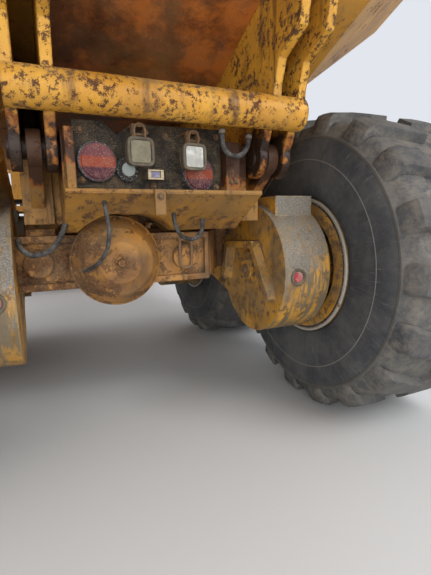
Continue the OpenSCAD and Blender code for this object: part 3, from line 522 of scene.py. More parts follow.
def fabricMaterial():
    material, tree, shader = newMaterial("seatCloth")
    where = objectSpace(tree)
    warp = put(tree, "TexWave", {"Vector": where, "Scale": 160.0, "Distortion": 0.6},
               bands_direction="X").outputs["Fac"]
    weft = put(tree, "TexWave", {"Vector": where, "Scale": 160.0, "Distortion": 0.6},
               bands_direction="Z").outputs["Fac"]
    weave = times(tree, warp, weft)
    colour = mixColour(tree, weave, tone(44, 46, 50), tone(70, 72, 76))
    dust = effect(tree, "dust", Amount=0.25, Everywhere=0.12, Scale=9)
    tree.links.new(mixColour(tree, dust["Mask"], colour, paleDust), shader["Base Color"])
    shader["Roughness"].default_value = 0.9
    shader["Sheen Weight"].default_value = 0.3
    giveBump(tree, shader, weave, 0.0012)
    return material


finishes["tyre_rubber"] = tyreMaterial()
finishes["window_glass"] = glassMaterial()
finishes["seat_fabric"] = fabricMaterial()
finishes["lamp_lens"] = lensMaterial("lampLens", [(0, tone(204, 204, 198))], 0.15)
finishes["mossy_lens"] = weathered("mossyLens", {
    "light": tone(120, 114, 92), "dark": tone(98, 92, 72), "stain": tone(80, 72, 56),
    "rust": tone(84, 74, 56), "rustPale": tone(120, 108, 84), "dustTone": tone(132, 122, 98), "chips": 0.3,
    "chipScale": 90, "haze": 0.3, "dustScale": 50, "gloss": 0.25, "edge": 0.002, "patch": 30})
finishes["silver_lens"] = weathered("silverLens", {
    "light": tone(206, 206, 200), "dark": tone(168, 168, 162), "stain": tone(130, 124, 110),
    "rust": tone(110, 104, 92), "rustPale": tone(170, 164, 150), "dustTone": tone(150, 144, 128),
    "chips": 0.42, "chipScale": 70, "haze": 0.2, "dustScale": 50, "gloss": 0.2, "edge": 0.002, "patch": 26})
finishes["reflector_red"] = lensMaterial("reflectorRed", [(0, tone(158, 12, 34))], 0.25)
finishes["pale_frame"] = weathered("paleFrame", {
    "light": tone(206, 194, 168), "dark": tone(178, 160, 128), "stain": tone(110, 84, 56),
    "rust": tone(120, 80, 46), "rustPale": tone(150, 110, 70), "dustTone": tone(150, 132, 104),
    "chips": 0.35, "chipScale": 60, "edge": 0.002})
finishes["blue_eye"] = lensMaterial("blueEye", [(0, tone(96, 98, 128))], 0.12)
finishes["lamp_case"] = weathered("lampCase", {
    "light": tone(98, 88, 72), "dark": tone(60, 54, 46), "stain": tone(44, 38, 32), "rust": tone(58, 44, 32),
    "rustPale": tone(100, 80, 58), "dustTone": tone(126, 113, 92), "chips": 0.42, "chipScale": 60,
    "dust": 0.6, "haze": 0.35, "dustScale": 34, "gloss": 0.6, "edge": 0.003})
finishes["pale_ring"] = weathered("paleRing", {
    "light": tone(184, 176, 162), "dark": tone(150, 142, 128), "stain": tone(96, 82, 64),
    "rust": tone(92, 66, 44), "rustPale": tone(140, 112, 82), "dustTone": tone(160, 150, 132), "chips": 0.34,
    "chipScale": 30, "dust": 0.3, "haze": 0.15, "gloss": 0.45, "edge": 0.002})
finishes["shackle_rust"] = weathered("shackleRust", {
    "light": tone(120, 92, 64), "dark": tone(84, 62, 44), "stain": tone(50, 36, 28),
    "rust": tone(74, 46, 30), "rustPale": tone(134, 100, 66), "dustTone": tone(132, 116, 92), "chips": 0.6,
    "chipScale": 50, "gloss": 0.7, "edge": 0.002})
finishes["dull_steel"] = weathered("dullSteel", {
    "light": tone(150, 142, 128), "dark": tone(112, 104, 92), "stain": tone(70, 56, 42),
    "rust": tone(82, 54, 36), "rustPale": tone(126, 92, 60), "dustTone": tone(140, 128, 108), "chips": 0.4,
    "chipScale": 26, "dust": 0.35, "haze": 0.2, "gloss": 0.55, "edge": 0.003})


# Tail lamps: three bands in each lens, a dark rim, and a pale disc in the small round device
lamps = {"left": (-0.291, 1.390, 0.072), "right": (0.141, 1.363, 0.072), "small": (-0.172, 1.369, 0.044)}
lensBands = {"lower": (-0.024, -0.016), "upper": (0.014, 0.026), "disc": (0.0275, 0.0255),
             "device": (0.050, 0.049), "deviceX": -0.1645}


def tailLampMaterial():
    material, tree, shader = newMaterial("tailLamps")
    where = objectSpace(tree)
    place = parts(tree, where)
    split = ramp(tree, place["X"], -0.06, -0.04)
    middle = calc(tree, "MULTIPLY_ADD", split, lamps["right"][1] - lamps["left"][1], lamps["left"][1])
    height = minus(tree, place["Z"], middle)
    wobble = times(tree, minus(tree, noiseOf(tree, where, 60.0, 4), 0.5), 0.01)
    height = plus(tree, height, wobble)
    colour = mixColour(tree, ramp(tree, height, *lensBands["lower"]), tone(72, 34, 44), tone(132, 58, 36))
    colour = mixColour(tree, ramp(tree, height, *lensBands["upper"]), colour, tone(100, 54, 58))
    mud = effect(tree, "splash", Scale=150, Amount=0.6)
    colour = mixColour(tree, times(tree, mud["Mask"], 0.6), colour, tone(168, 138, 118))
    film = ramp(tree, noiseOf(tree, where, 24.0, 6, 0.7), 0.44, 0.66)
    colour = mixColour(tree, times(tree, film, 0.35), colour, tone(138, 96, 84))
    across = minus(tree, place["X"], lensBands["deviceX"])
    above = minus(tree, place["Z"], lamps["small"][1])
    reach = reachOf(tree, across, above)
    ringed = mixColour(tree, ramp(tree, reach, *lensBands["disc"]), tone(44, 42, 40), tone(148, 156, 152))
    speckled = mixColour(tree, times(tree, mud["Mask"], 0.6), ringed, tone(160, 146, 126))
    colour = mixColour(tree, ramp(tree, reach, *lensBands["device"]), colour, speckled)
    tree.links.new(colour, shader["Base Color"])
    shader["Roughness"].default_value = 0.6
    shader["Specular IOR Level"].default_value = 0.25
    giveBump(tree, shader, noiseOf(tree, where, 200.0, 3), 0.0012)
    return material


# Panel plastic: near black, with pale dried splashes of many sizes
def panelMaterial():
    material, tree, shader = newMaterial("tailPanel")
    where = objectSpace(tree)
    colour = mixColour(tree, ramp(tree, noiseOf(tree, where, 7.0, 6, 0.6), 0.36, 0.66), tone(34, 31, 30),
                       tone(58, 50, 42))
    for scale, reach, limit in ((240.0, 0.26, 9.0), (120.0, 0.18, 4.0), (44.0, 0.08, 2.5)):
        near = put(tree, "TexVoronoi", {"Vector": where, "Scale": scale, "Randomness": 1.0}).outputs
        pick = ramp(tree, noiseOf(tree, where, limit, 3), 0.44, 0.60)
        bent = plus(tree, near["Distance"], times(tree, noiseOf(tree, where, scale * 2.2, 3), 0.35))
        spot = times(tree, ramp(tree, bent, reach + 0.2, reach + 0.13), pick)
        colour = mixColour(tree, times(tree, spot, 0.7), colour, tone(146, 130, 102))
    film = ramp(tree, noiseOf(tree, where, 15.0, 9, 0.78), 0.44, 0.68)
    colour = mixColour(tree, times(tree, film, 0.6), colour, tone(104, 88, 64))
    slant = put(tree, "Mapping", {"Vector": where, "Rotation": (0.0, 0.5, 0.0),
                                  "Scale": (22.0, 22.0, 110.0)}).outputs[0]
    wiped = ramp(tree, noiseOf(tree, slant, 1.0, 6, 0.75), 0.56, 0.66)
    colour = mixColour(tree, times(tree, wiped, 0.4), colour, tone(120, 108, 88))
    tree.links.new(colour, shader["Base Color"])
    shader["Roughness"].default_value = 0.75
    shader["Specular IOR Level"].default_value = 0.2
    grain = effect(tree, "grain", Scale=240, Lump=30)
    giveBump(tree, shader, grain["Height"], 0.001)
    return material


finishes["tail_lamps"] = tailLampMaterial()
finishes["tail_panel"] = panelMaterial()
finishes["mirror_glass"] = newMaterial("mirrorGlass")[0]
mirrorInputs = finishes["mirror_glass"].node_tree.nodes["Principled BSDF"].inputs
mirrorInputs["Metallic"].default_value = 1.0
mirrorInputs["Roughness"].default_value = 0.05
mirrorInputs["Base Color"].default_value = tone(206, 210, 212)
nodeFinish = {"dump_body": "body_paint", "body_hinge": "hinge_paint", "rear_frame": "frame_paint",
              "rear_lamps": "tail_lamps", "tail_panel": "tail_panel", "work_lamps": "lamp_case",
              "headlamps": "black_plastic"}

# Every node takes the finish of its slot in the record
for row in frame["record"]["subparts"]:
    owner = nodes[row["node"]]
    owner.data.materials.clear()
    owner.data.materials.append(finishes[nodeFinish.get(row["node"], row["material_slot"])])
print("nodes finished")


# Building pieces: a shape gathers vertices and faces in the truck's own frame
class Shape:
    def __init__(self):
        self.verts, self.faces = [], []

    def add(self, verts, faces):
        first = len(self.verts)
        self.verts += [tuple(v) for v in verts]
        self.faces += [tuple(first + i for i in face) for face in faces]

    def rings(self, rows):
        # Rings of equally many points, joined by four-sided faces
        wide = len(rows[0])
        faces = []
        for i in range(len(rows) - 1):
            for j in range(wide):
                n = (j + 1) % wide
                faces.append((i * wide + j, i * wide + n, (i + 1) * wide + n, (i + 1) * wide + j))
        self.add([p for row in rows for p in row], faces)

    def cap(self, first, count, flipped=False):
        ring = tuple(range(first, first + count))
        self.faces.append(ring[::-1] if flipped else ring)

    def lathe(self, centre, axis, profile, steps=24, capEnd=False):
        # The profile gives distances along the axis and radii
        a = Vector(axis).normalized()
        side = a.orthogonal().normalized()
        other = a.cross(side)
        rows = [[Vector(centre) + a * d + (side * math.cos(t) + other * math.sin(t)) * r
                 for t in (2 * math.pi * k / steps for k in range(steps))] for d, r in profile]
        first = len(self.verts)
        self.rings(rows)
        if capEnd:
            self.cap(first + (len(rows) - 1) * steps, steps)

    def block(self, low, high, cut=0.004, turn=None):
        # A block with all edges cut back, turned by a matrix where one is given
        low, high = Vector(low), Vector(high)
        mid, half = (low + high) / 2, (high - low) / 2
        cut = min(cut, *(0.45 * h for h in half))
        rows = []
        for z, inset in ((-half.z, cut), (-half.z + cut, 0), (half.z - cut, 0), (half.z, cut)):
            x, y = half.x - inset, half.y - inset
            c = cut * (1 if inset == 0 else 0.6)
            rows.append([Vector(p) for p in ((-x + c, -y, z), (x - c, -y, z), (x, -y + c, z), (x, y - c, z),
                                             (x - c, y, z), (-x + c, y, z), (-x, y - c, z),
                                             (-x, -y + c, z))])
        rows = [[mid + p for p in row] for row in rows]
        if turn is not None:
            rows = [[turn @ p for p in row] for row in rows]
        first, corners = len(self.verts), len(rows[0])
        self.rings(rows)
        self.cap(first, corners, flipped=True)
        self.cap(first + 3 * corners, corners)

    def bolt(self, place, axis, radius=0.012, height=0.010):
        # A six-sided head on a washer
        self.lathe(place, axis, [(-0.001, radius * 1.5), (0.0022, radius * 1.5), (0.003, radius * 1.4),
                                 (0.003, radius)], 16)
        base = Vector(place) + Vector(axis).normalized() * 0.003
        head = [(0, radius), (height - 0.002, radius), (height, radius * 0.86)]
        self.lathe(base, axis, head, 6, capEnd=True)

    def tube(self, points, radius, sides=12, caps=True):
        points = [Vector(p) for p in points]
        radii = radius if isinstance(radius, list) else [radius] * len(points)
        rows, side = [], None
        for i, p in enumerate(points):
            way = (points[min(i + 1, len(points) - 1)] - points[max(i - 1, 0)]).normalized()
            side = way.orthogonal() if side is None else side - way * side.dot(way)
            side.normalize()
            other = way.cross(side)
            rows.append([p + (side * math.cos(t) + other * math.sin(t)) * radii[i]
                         for t in (2 * math.pi * k / sides for k in range(sides))])
        first = len(self.verts)
        self.rings(rows)
        if caps:
            self.cap(first, sides, flipped=True)
            self.cap(first + (len(rows) - 1) * sides, sides)

    def build(self, name, finish, body, slotName=None, sharp=35):
        mesh = bpy.data.meshes.new(name)
        mesh.from_pydata(self.verts, [], self.faces)
        mesh.validate()
        mesh.shade_smooth()
        mesh.set_sharp_from_angle(angle=math.radians(sharp))
        mesh.materials.append(finish)
        obj = bpy.data.objects.new(name, mesh)
        bpy.context.scene.collection.objects.link(obj)
        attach(obj, body)
        return obj


def smoothRoute(route, between=6):
    # A smooth line through the points of a route
    points = [Vector(p) for p in route]
    ends = [2 * points[0] - points[1]] + points + [2 * points[-1] - points[-2]]
    line = []
    for i in range(1, len(ends) - 2):
        a, b, c, d = ends[i - 1:i + 3]
        for k in range(between):
            t = k / between
            line.append(0.5 * (2 * b + (c - a) * t + (2 * a - 5 * b + 4 * c - d) * t * t
                               + (3 * b - a - 3 * c + d) * t ** 3))
    return line + [points[-1]]


# The cable and two hoses that hang behind the rear axle
cords = {
    "tailCable": {"node": "cable_drop", "diameter": 0.018, "route": [
        (-0.27, -0.41, 1.275), (-0.262, -0.425, 1.2), (-0.255, -0.42, 1.13), (-0.262, -0.39, 1.06),
        (-0.29, -0.33, 1.0), (-0.33, -0.26, 0.965), (-0.345, -0.23, 0.96)]},
    "leftHose": {"node": "hose_left", "diameter": 0.024, "route": [
        (-0.59, -0.1503, 1.096), (-0.59, -0.19, 1.096), (-0.58, -0.235, 1.065), (-0.54, -0.27, 1.04),
        (-0.48, -0.27, 1.05), (-0.44, -0.26, 1.09), (-0.4, -0.26, 1.17)]},
    "rightHose": {"node": "hose_right", "diameter": 0.02, "route": [
        (0.04, -0.33, 1.23), (0.045, -0.34, 1.15), (0.08, -0.335, 1.095), (0.14, -0.32, 1.085),
        (0.185, -0.3, 1.12), (0.2, -0.28, 1.185)]},
}


def evenly(line, step):
    # The same line with its points a step apart
    points, spare = [line[0]], 0.0
    for a, b in zip(line, line[1:]):
        length = (b - a).length
        at = step - spare
        while at <= length:
            points.append(a.lerp(b, at / length))
            at += step
        spare = length - (at - step)
    return points + [line[-1]]


def makeCords():
    for name, facts in cords.items():
        line = smoothRoute([(x, rearY + y, z) for x, y, z in facts["route"]])
        shape = Shape()
        rings = evenly(line, 0.0055)
        outer = facts["diameter"] / 2
        shape.tube(rings, [outer if i % 2 else outer * 0.84 for i in range(len(rings))], 12)
        piece = shape.build(name, finishes["hose_rubber"], "rear_chassis", "hose_rubber")
        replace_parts(piece, facts["node"])


makeCords()

# Tyres: a smooth casing with a ridge, and two staggered rows of chunky lugs
tyre = {"lugs": 18, "steps": 180, "tread": 0.885,
        "casing": [(0.326, 0.3305), (0.326, 0.402), (0.334, 0.41), (0.344, 0.412), (0.352, 0.42),
                   (0.36, 0.436), (0.365, 0.47), (0.371, 0.52), (0.3745, 0.57), (0.3752, 0.6),
                   (0.3748, 0.62), (0.3765, 0.6215), (0.3765, 0.6245), (0.3745, 0.626), (0.3725, 0.66),
                   (0.368, 0.7), (0.36, 0.73), (0.3565, 0.738), (0.359, 0.742), (0.358, 0.754),
                   (0.351, 0.76), (0.34, 0.768), (0.326, 0.79), (0.31, 0.812), (0.28, 0.826), (0.2, 0.834),
                   (0.1, 0.838), (0.0, 0.839)],
        # Each lug: distance from the middle plane, radius, depth, half width and sweep
        "stations": [(0.352, 0.757, 0.012, 0.060, 0.0), (0.345, 0.79, 0.03, 0.068, 0.0),
                     (0.332, 0.838, 0.045, 0.072, 0.0), (0.316, 0.862, 0.048, 0.072, 0.0),
                     (0.286, 0.876, 0.05, 0.07, 0.004), (0.2, 0.883, 0.05, 0.062, 0.03),
                     (0.11, 0.885, 0.05, 0.056, 0.075), (0.015, 0.885, 0.05, 0.05, 0.105)],
        # Across a lug: share of its half width and how deep it lies, where None is the lug's full depth
        "lugRow": [(-1.12, None), (-1.0, 0.012), (-0.9, 0.0), (0.0, 0.0), (0.9, 0.0), (1.0, 0.012),
                   (1.12, None)],
        "chipped": 0.02}


def makeTyre(place, spot, seed):
    body = "wheel_" + place
    half = tyre["casing"]
    profile = half + [(-x, r) for x, r in half[-2::-1]]
    verts, faces, radii, turns = [], [], [], []

    def point(x, r, t):
        radii.append(r)
        turns.append(t)
        verts.append((spot.x + x, spot.y + r * math.cos(t), spot.z + r * math.sin(t)))

    steps = tyre["steps"]
    for k in range(steps + 1):
        for x, r in profile:
            point(x, r, 2 * math.pi * k / steps)
    wide = len(profile)
    for k in range(steps):
        for j in range(wide - 1):
            faces.append((k * wide + j, k * wide + j + 1, (k + 1) * wide + j + 1, (k + 1) * wide + j))
    draw = random.Random(seed)
    count, across = tyre["lugs"], len(tyre["lugRow"])
    for side in (1, -1):
        for i in range(count):
            start = 2 * math.pi * (i + (0.5 if side > 0 else 0)) / count
            first = len(verts)
            for x, r, depth, halfWide, sweep in tyre["stations"]:
                for offset, drop in tyre["lugRow"]:
                    drop = depth if drop is None else drop
                    lift = -drop + (draw.uniform(-0.003, 0.001) if drop < tyre["chipped"] else 0)
                    point(side * x, r + lift, start + (sweep + side * offset * halfWide) / tyre["tread"])
            for s in range(len(tyre["stations"]) - 1):
                for j in range(across - 1):
                    a = first + s * across + j
                    faces.append((a, a + 1, a + across + 1, a + across))
            faces.append(tuple(first + j for j in range(across))[::-1])
            last = first + (len(tyre["stations"]) - 1) * across
            faces.append(tuple(last + j for j in range(across)))
    mesh = bpy.data.meshes.new("tyre-" + place)
    mesh.from_pydata(verts, [], faces)
    coords = mesh.uv_layers.new(name="radiusMap").data
    for loop in mesh.loops:
        coords[loop.index].uv = (turns[loop.vertex_index] / (2 * math.pi), radii[loop.vertex_index])
    mesh.shade_smooth()
    mesh.set_sharp_from_angle(angle=math.radians(32))
    mesh.materials.append(finishes["tyre_rubber"])
    piece = bpy.data.objects.new("tyre-" + place, mesh)
    bpy.context.scene.collection.objects.link(piece)
    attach(piece, body)
    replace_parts(piece, "tyre_" + place)


for seed, (place, spot) in enumerate(wheelSpots.items()):
    makeTyre(place, spot, seed)
print("tyres")


# Places on the tail panel, which stands turned by seven degrees behind the rear axle
panelTurn = math.radians(7)
panelFrame = Matrix.Translation((0, rearY - 0.37, 0)) @ Matrix.Rotation(panelTurn, 4, "Z")
panelOut = panelFrame.to_3x3() @ Vector((0, -1, 0))
panelSide = panelFrame.to_3x3() @ Vector((1, 0, 0))


def onPanel(x, out, z):
    return panelFrame @ Vector((x, -out, z))


# Tail: lamp rims, lenses, the camera's frame, shackles, bolts and a ribbed conduit
tail = {"workLamps": ((-0.138, 1.429, "mossy_lens"), (0.094, 1.424, "silver_lens")),
        "camera": (-0.066, 1.3505),
        "panelBolts": ((-0.345, 1.325), (-0.345, 1.505), (0.242, 1.312), (0.245, 1.528), (0.0, 1.512),
                       (-0.06, 1.31)),
        "conduit": ((0.237, -0.43, 1.548), (0.236, -0.434, 1.51), (0.24, -0.438, 1.472),
                    (0.262, -0.44, 1.444), (0.30, -0.438, 1.436), (0.337, -0.432, 1.452),
                    (0.366, -0.42, 1.492), (0.378, -0.408, 1.54))}


def makeHousing(shape, x, z):
    # Rounded square rings from the back to the bezel, ribbed behind like a cooler
    sections = [(0.0452, 0.040), (0.0452, 0.046)]
    sections += [(0.048 + i * 0.0022, 0.0500 if i % 2 else 0.0455) for i in range(8)]
    sections += [(0.068, 0.0535), (0.086, 0.0548), (0.0925, 0.0545), (0.0949, 0.0525), (0.0949, 0.0450),
                 (0.0935, 0.0432), (0.0866, 0.0424)]
    count, rings = 40, []
    for out, half in sections:
        ring = []
        for k in range(count):
            c, d = math.cos(2 * math.pi * k / count), math.sin(2 * math.pi * k / count)
            ring.append(onPanel(x + math.copysign(abs(c) ** 0.42, c) * half, out,
                                z + math.copysign(abs(d) ** 0.42, d) * half))
        rings.append(ring)
    verts = [q for ring in rings for q in ring]
    faces = [tuple(range(count))]
    for i in range(len(rings) - 1):
        for k in range(count):
            n = (k + 1) % count
            faces.append((i * count + n, i * count + k, (i + 1) * count + k, (i + 1) * count + n))
    faces.append(tuple(reversed(range((len(rings) - 1) * count, len(rings) * count))))
    shape.add(verts, faces)


def windowFrame(shape, x, z, outer, inner, far, near, cut):
    # Four bars round an opening, between two distances off the panel
    (wide, tall), (gap, clear) = outer, inner
    for low, high in (((-wide, -tall), (wide, -clear)), ((-wide, clear), (wide, tall)),
                      ((-wide, -clear), (-gap, clear)), ((gap, -clear), (wide, clear))):
        shape.block((x + low[0], -far, z + low[1]), (x + high[0], -near, z + high[1]), cut, panelFrame)


def makeTail():
    rims = Shape()
    for x, z, r in lamps.values():
        deep = 0.036 if r > 0.05 else 0.027
        rims.lathe(onPanel(x, 0.010, z), panelOut, [(0, r + 0.0035), (deep - 0.013, r + 0.0035),
                                                    (deep - 0.008, r + 0.001),
                                                    (deep - 0.008, r - 0.003)], 40)
    rims.build("lampRims", finishes["black_plastic"], "rear_chassis", "black_plastic")
    for index, (x, z, lens) in enumerate(tail["workLamps"]):
        face = Shape()
        face.block((x - 0.0395, -0.0905, z - 0.0415), (x + 0.0395, -0.0868, z + 0.0415), 0.004, panelFrame)
        face.build("workLens" + str(index), finishes[lens], "rear_chassis", "lamp_lens")
        housing = Shape()
        makeHousing(housing, x, z)
        piece = housing.build("workLampHousing" + str(index), finishes["lamp_case"], "rear_chassis",
                              "black_plastic", 40)
        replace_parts(piece, "work_lamps")
        ring = Shape()
        for side in (-1, 1):
            ring.block((x + side * 0.024 - 0.0048, -0.0795, z + 0.049),
                       (x + side * 0.024 + 0.0048, -0.0555, z + 0.097),
                       0.002, panelFrame)
        ring.block((x - 0.0288, -0.0798, z + 0.0925), (x + 0.0288, -0.0102, z + 0.1038), 0.003, panelFrame)
        ring.tube(smoothRoute([onPanel(x + dx, 0.084, z + dz) for dx, dz in
                               ((-0.02, 0.05), (-0.022, 0.08), (-0.012, 0.1), (0.012, 0.1), (0.022, 0.08),
                                (0.02, 0.05))], 4),
                  0.0048, 8)
        ring.tube([onPanel(x - 0.03, 0.068, z + 0.066), onPanel(x + 0.03, 0.068, z + 0.066)], 0.006, 8)
        ring.bolt(onPanel(x + 0.029, 0.068, z + 0.075), panelSide, 0.008, 0.007)
        piece = ring.build("workLampTrim" + str(index), finishes["shackle_rust"], "rear_chassis",
                           "black_plastic")
        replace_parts(piece, "work_lamps")
    x, z = tail["camera"]
    case = Shape()
    case.block((x - 0.034, -0.0462, 1.3312), (x + 0.034, -0.0102, 1.3698), 0.002, panelFrame)
    windowFrame(case, x, z, (0.034, 0.0195), (0.022, 0.0125), 0.0522, 0.0455, 0.0005)
    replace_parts(case.build("cameraCase", finishes["lamp_case"], "rear_chassis", "black_plastic"),
                "work_lamps")
    frameShape = Shape()
    windowFrame(frameShape, x, z, (0.0335, 0.0195), (0.021, 0.0125), 0.056, 0.0522, 0.001)
    frameShape.build("cameraFrame", finishes["pale_frame"], "rear_chassis", "lamp_lens")
    eye = Shape()
    eye.block((x - 0.0205, -0.0512, z - 0.012), (x + 0.0205, -0.0462, z + 0.012), 0.002, panelFrame)
    eye.build("cameraEye", finishes["blue_eye"], "rear_chassis", "lamp_lens")
    bolts = Shape()
    for bx, bz in tail["panelBolts"]:
        bolts.bolt(onPanel(bx, 0.010, bz), panelOut, 0.009, 0.008)
    for bx in (0.295, 0.325):
        bolts.bolt(onPanel(bx, 0.050, 1.335), panelOut, 0.008, 0.007)
    bolts.bolt((-0.058, rearY - 0.482, 1.262), (0, -1, 0), 0.010, 0.008)
    bolts.build("tailBolts", finishes["shackle_rust"], "rear_chassis", "black_steel")
    line = smoothRoute([(x, rearY + y, z) for x, y, z in tail["conduit"]], 9)
    pipe = Shape()
    pipe.tube(line, [0.0118 if i % 2 else 0.0098 for i in range(len(line))], 12)
    pipe.build("ribbedConduit", finishes["hose_rubber"], "rear_chassis", "hose_rubber", 60)
    clips = Shape()
    clip = [(0, 0.0125), (0, 0.0145), (0.016, 0.0145), (0.016, 0.0125)]
    for i in (3, len(line) - 4):
        way = (line[i + 1] - line[i - 1]).normalized()
        clips.lathe(line[i] - way * 0.008, way, clip, 16)
    clips.build("conduitClips", finishes["dull_steel"], "rear_chassis", "black_steel")
    seams = Shape()
    for x0, x1 in ((-0.405, -0.085), (-0.03, 0.405)):
        seams.tube([(x, rearY - 0.4705, 1.2745 + 0.0012 * math.sin(x * 310)) for x in
                    (x0 + (x1 - x0) * k / 60 for k in range(61))], 0.004, 6)
    seams.build("ledgeWeld", finishes["frame_paint"], "rear_chassis", "yellow_paint")


makeTail()
print("tail")

# Axle trim: a plug and a ring of bolts on each bowl, and a looped bracket on the rear beam
bowl = {"x": -0.19, "lift": 0.105, "bolts": 14, "boltRing": 0.186}


def makeAxleTrim():
    for name, spot, body in (("rear", wheelSpots["rear_right"], "rear_chassis"),
                             ("middle", wheelSpots["middle_right"], "rear_chassis"),
                             ("front", wheelSpots["front_right"], "tractor")):
        trim = Shape()
        middle = Vector((bowl["x"], spot.y, axleZ + bowl["lift"]))
        trim.bolt(middle + Vector((0, -0.298, 0)), (0, -1, 0), 0.02, 0.012)
        collar = [(0, 0.044), (0.006, 0.042), (0.007, 0.034), (0.004, 0.03)]
        trim.lathe(middle + Vector((0, -0.291, 0)), (0, -1, 0), collar, 32)
        lip = [(-0.012, 0.2), (-0.012, 0.206), (0.006, 0.206), (0.01, 0.198)]
        trim.lathe(middle + Vector((0, -0.168, 0)), (0, -1, 0), lip, 48)
        for k in range(bowl["bolts"]):
            t = 2 * math.pi * (k + 0.5) / bowl["bolts"]
            place = Vector((bowl["boltRing"] * math.cos(t), -0.176, bowl["boltRing"] * math.sin(t)))
            trim.bolt(middle + place, (0, -1, 0), 0.009, 0.012)
        if name == "rear":
            loop = Shape()
            loop.tube(smoothRoute([(0.15 + dx, spot.y - 0.170, axleZ + 0.107 + dz) for dx, dz in
                                   ((-0.03, 0.085), (-0.03, -0.02), (-0.018, -0.05), (0.018, -0.05),
                                    (0.03, -0.02),
                                    (0.03, 0.085))], 5), 0.0075, 10)
            loop.block((0.11, spot.y - 0.176, axleZ + 0.185), (0.19, spot.y - 0.148, axleZ + 0.199), 0.002)
            loop.build("axleLoop", finishes["shackle_rust"], body, "rusty_casting")
        trim.build("axleTrim-" + name, finishes["rusty_casting"], body, "rusty_casting")


makeAxleTrim()
print("axle trim")

# Guards: a recessed red reflector on each drum's rear, weld beads round the hood strips, hub bolts
guard = {"drum": 0.36, "face": 0.61, "reflector": (0.688, 0.871), "faceBolts": 9,
         "stripPath": ((0.297, 0.817), (0.24, 1.04), (-0.1, 1.05), (-0.285, 0.755))}


def makeGuards():
    rims, glow, welds = Shape(), Shape(), Shape()
    x, z = guard["reflector"]
    for spot in (wheelSpots["rear_right"], wheelSpots["rear_left"]):
        side = 1 if spot.x > 0 else -1
        start = Vector((side * x, spot.y - guard["drum"], z))
        rimShape = [(-0.006, 0.045), (0.004, 0.045), (0.008, 0.041), (0.007, 0.034), (0.002, 0.030),
                    (-0.006, 0.0285)]
        rims.lathe(start, (0, -1, 0), rimShape, 32)
        glow.lathe(start, (0, -1, 0), [(-0.003, 0.0285), (0.001, 0.026), (0.002, 0.0)], 32)
    for y in (wheelSpots["rear_right"].y, wheelSpots["middle_right"].y):
        way = 1 if y == wheelSpots["rear_right"].y else -1
        for a, b in zip(guard["stripPath"], guard["stripPath"][1:]):
            count = 26
            welds.tube([(guard["face"] - 0.001, y + way * (a[0] + (b[0] - a[0]) * k / count),
                         a[1] + (b[1] - a[1]) * k / count + 0.0012 * math.sin(k * 2.2))
                         for k in range(count + 1)], 0.005, 6)
        for k in range(guard["faceBolts"]):
            t = 2 * math.pi * k / guard["faceBolts"]
            place = (guard["face"] - 0.022, y + 0.078 * math.cos(t), axleZ + 0.078 * math.sin(t))
            welds.bolt(place, (-1, 0, 0), 0.008, 0.009)
        welds.bolt((guard["face"] - 0.036, y, axleZ), (-1, 0, 0), 0.022, 0.014)
    rims.build("reflectorRims", finishes["lamp_case"], "rear_chassis", "worn_guard")
    glow.build("reflectors", finishes["reflector_red"], "rear_chassis", "red_lens")
    welds.build("guardWelds", finishes["shackle_rust"], "rear_chassis", "worn_guard")


makeGuards()
print("guards")

# Wheels: a pale locking ring at each flange, nuts round the disc, and the hub's bolts and plugs
wheel = {"flange": 0.358, "disc": 0.110, "nutRing": 0.262, "nuts": 20, "hubFace": 0.27, "hubBolts": 12,
         "hubRing": 0.19}


def makeWheelTrim():
    for place, spot in wheelSpots.items():
        out = Vector((1 if spot.x > 0 else -1, 0, 0))
        body = "wheel_" + place
        ring, gap = Shape(), Shape()
        for end in (-1, 1):
            centre = spot + out * end * wheel["flange"]
            ring.lathe(centre, out * end, [(-0.018, 0.404), (-0.002, 0.4075), (0.004, 0.404),
                                           (0.0045, 0.394), (0.0, 0.389),
                                           (-0.004, 0.388)], 72)
            gap.lathe(centre, out * end, [(-0.003, 0.390), (0.0008, 0.388), (0.0008, 0.377),
                                          (-0.003, 0.375)], 72)
            gap.block(centre + Vector((-0.001, -0.378, -0.0022)), centre + Vector((0.001, -0.332, 0.0022)),
                      0.0003)
        ring.build("flangeRing-" + place, finishes["pale_ring"], body, "worn_guard")
        gap.build("flangeGap-" + place, finishes["black_plastic"], body, "black_steel")
        bolts = Shape()
        for k in range(wheel["nuts"]):
            t = 2 * math.pi * k / wheel["nuts"]
            nut = spot + out * wheel["disc"] + Vector((0, math.cos(t), math.sin(t))) * wheel["nutRing"]
            bolts.bolt(nut, out, 0.017, 0.024)
        for k in range(wheel["hubBolts"]):
            t = 2 * math.pi * (k + 0.5) / wheel["hubBolts"]
            across = Vector((0, math.cos(t), math.sin(t))) * wheel["hubRing"]
            nut = spot + out * (wheel["hubFace"] + 0.006) + across
            bolts.bolt(nut, out, 0.013, 0.014)
        bolts.bolt(spot + out * 0.33, out, 0.03, 0.012)
        bolts.tube([spot + out * 0.10 + Vector((0, 0.02, 0.29)), spot + out * 0.17 + Vector((0, 0.02, 0.31)),
                    spot + out * 0.21 + Vector((0, 0.02, 0.312))], 0.007, 8)
        bolts.build("wheelBolts-" + place, finishes["dull_steel"], body, "rod_steel")


makeWheelTrim()
print("wheel trim")

# Cab: window gaskets, wiper, handle, mirror glass, cushions and headlamp lenses
cab = {"half": 0.85, "back": 1.96, "front": 3.60, "gasket": 0.013, "screenHeight": 1.07, "screenLean": 0.25}


def gasket(shape, points):
    closed = [Vector(q) for q in points]
    closed += closed[:2]
    shape.tube(closed, cab["gasket"], 8, False)


def sidePane(x, rear, ahead, sill, head):
    return [(x, rear, sill), (x, ahead, sill), (x, ahead, head), (x, rear, head)]


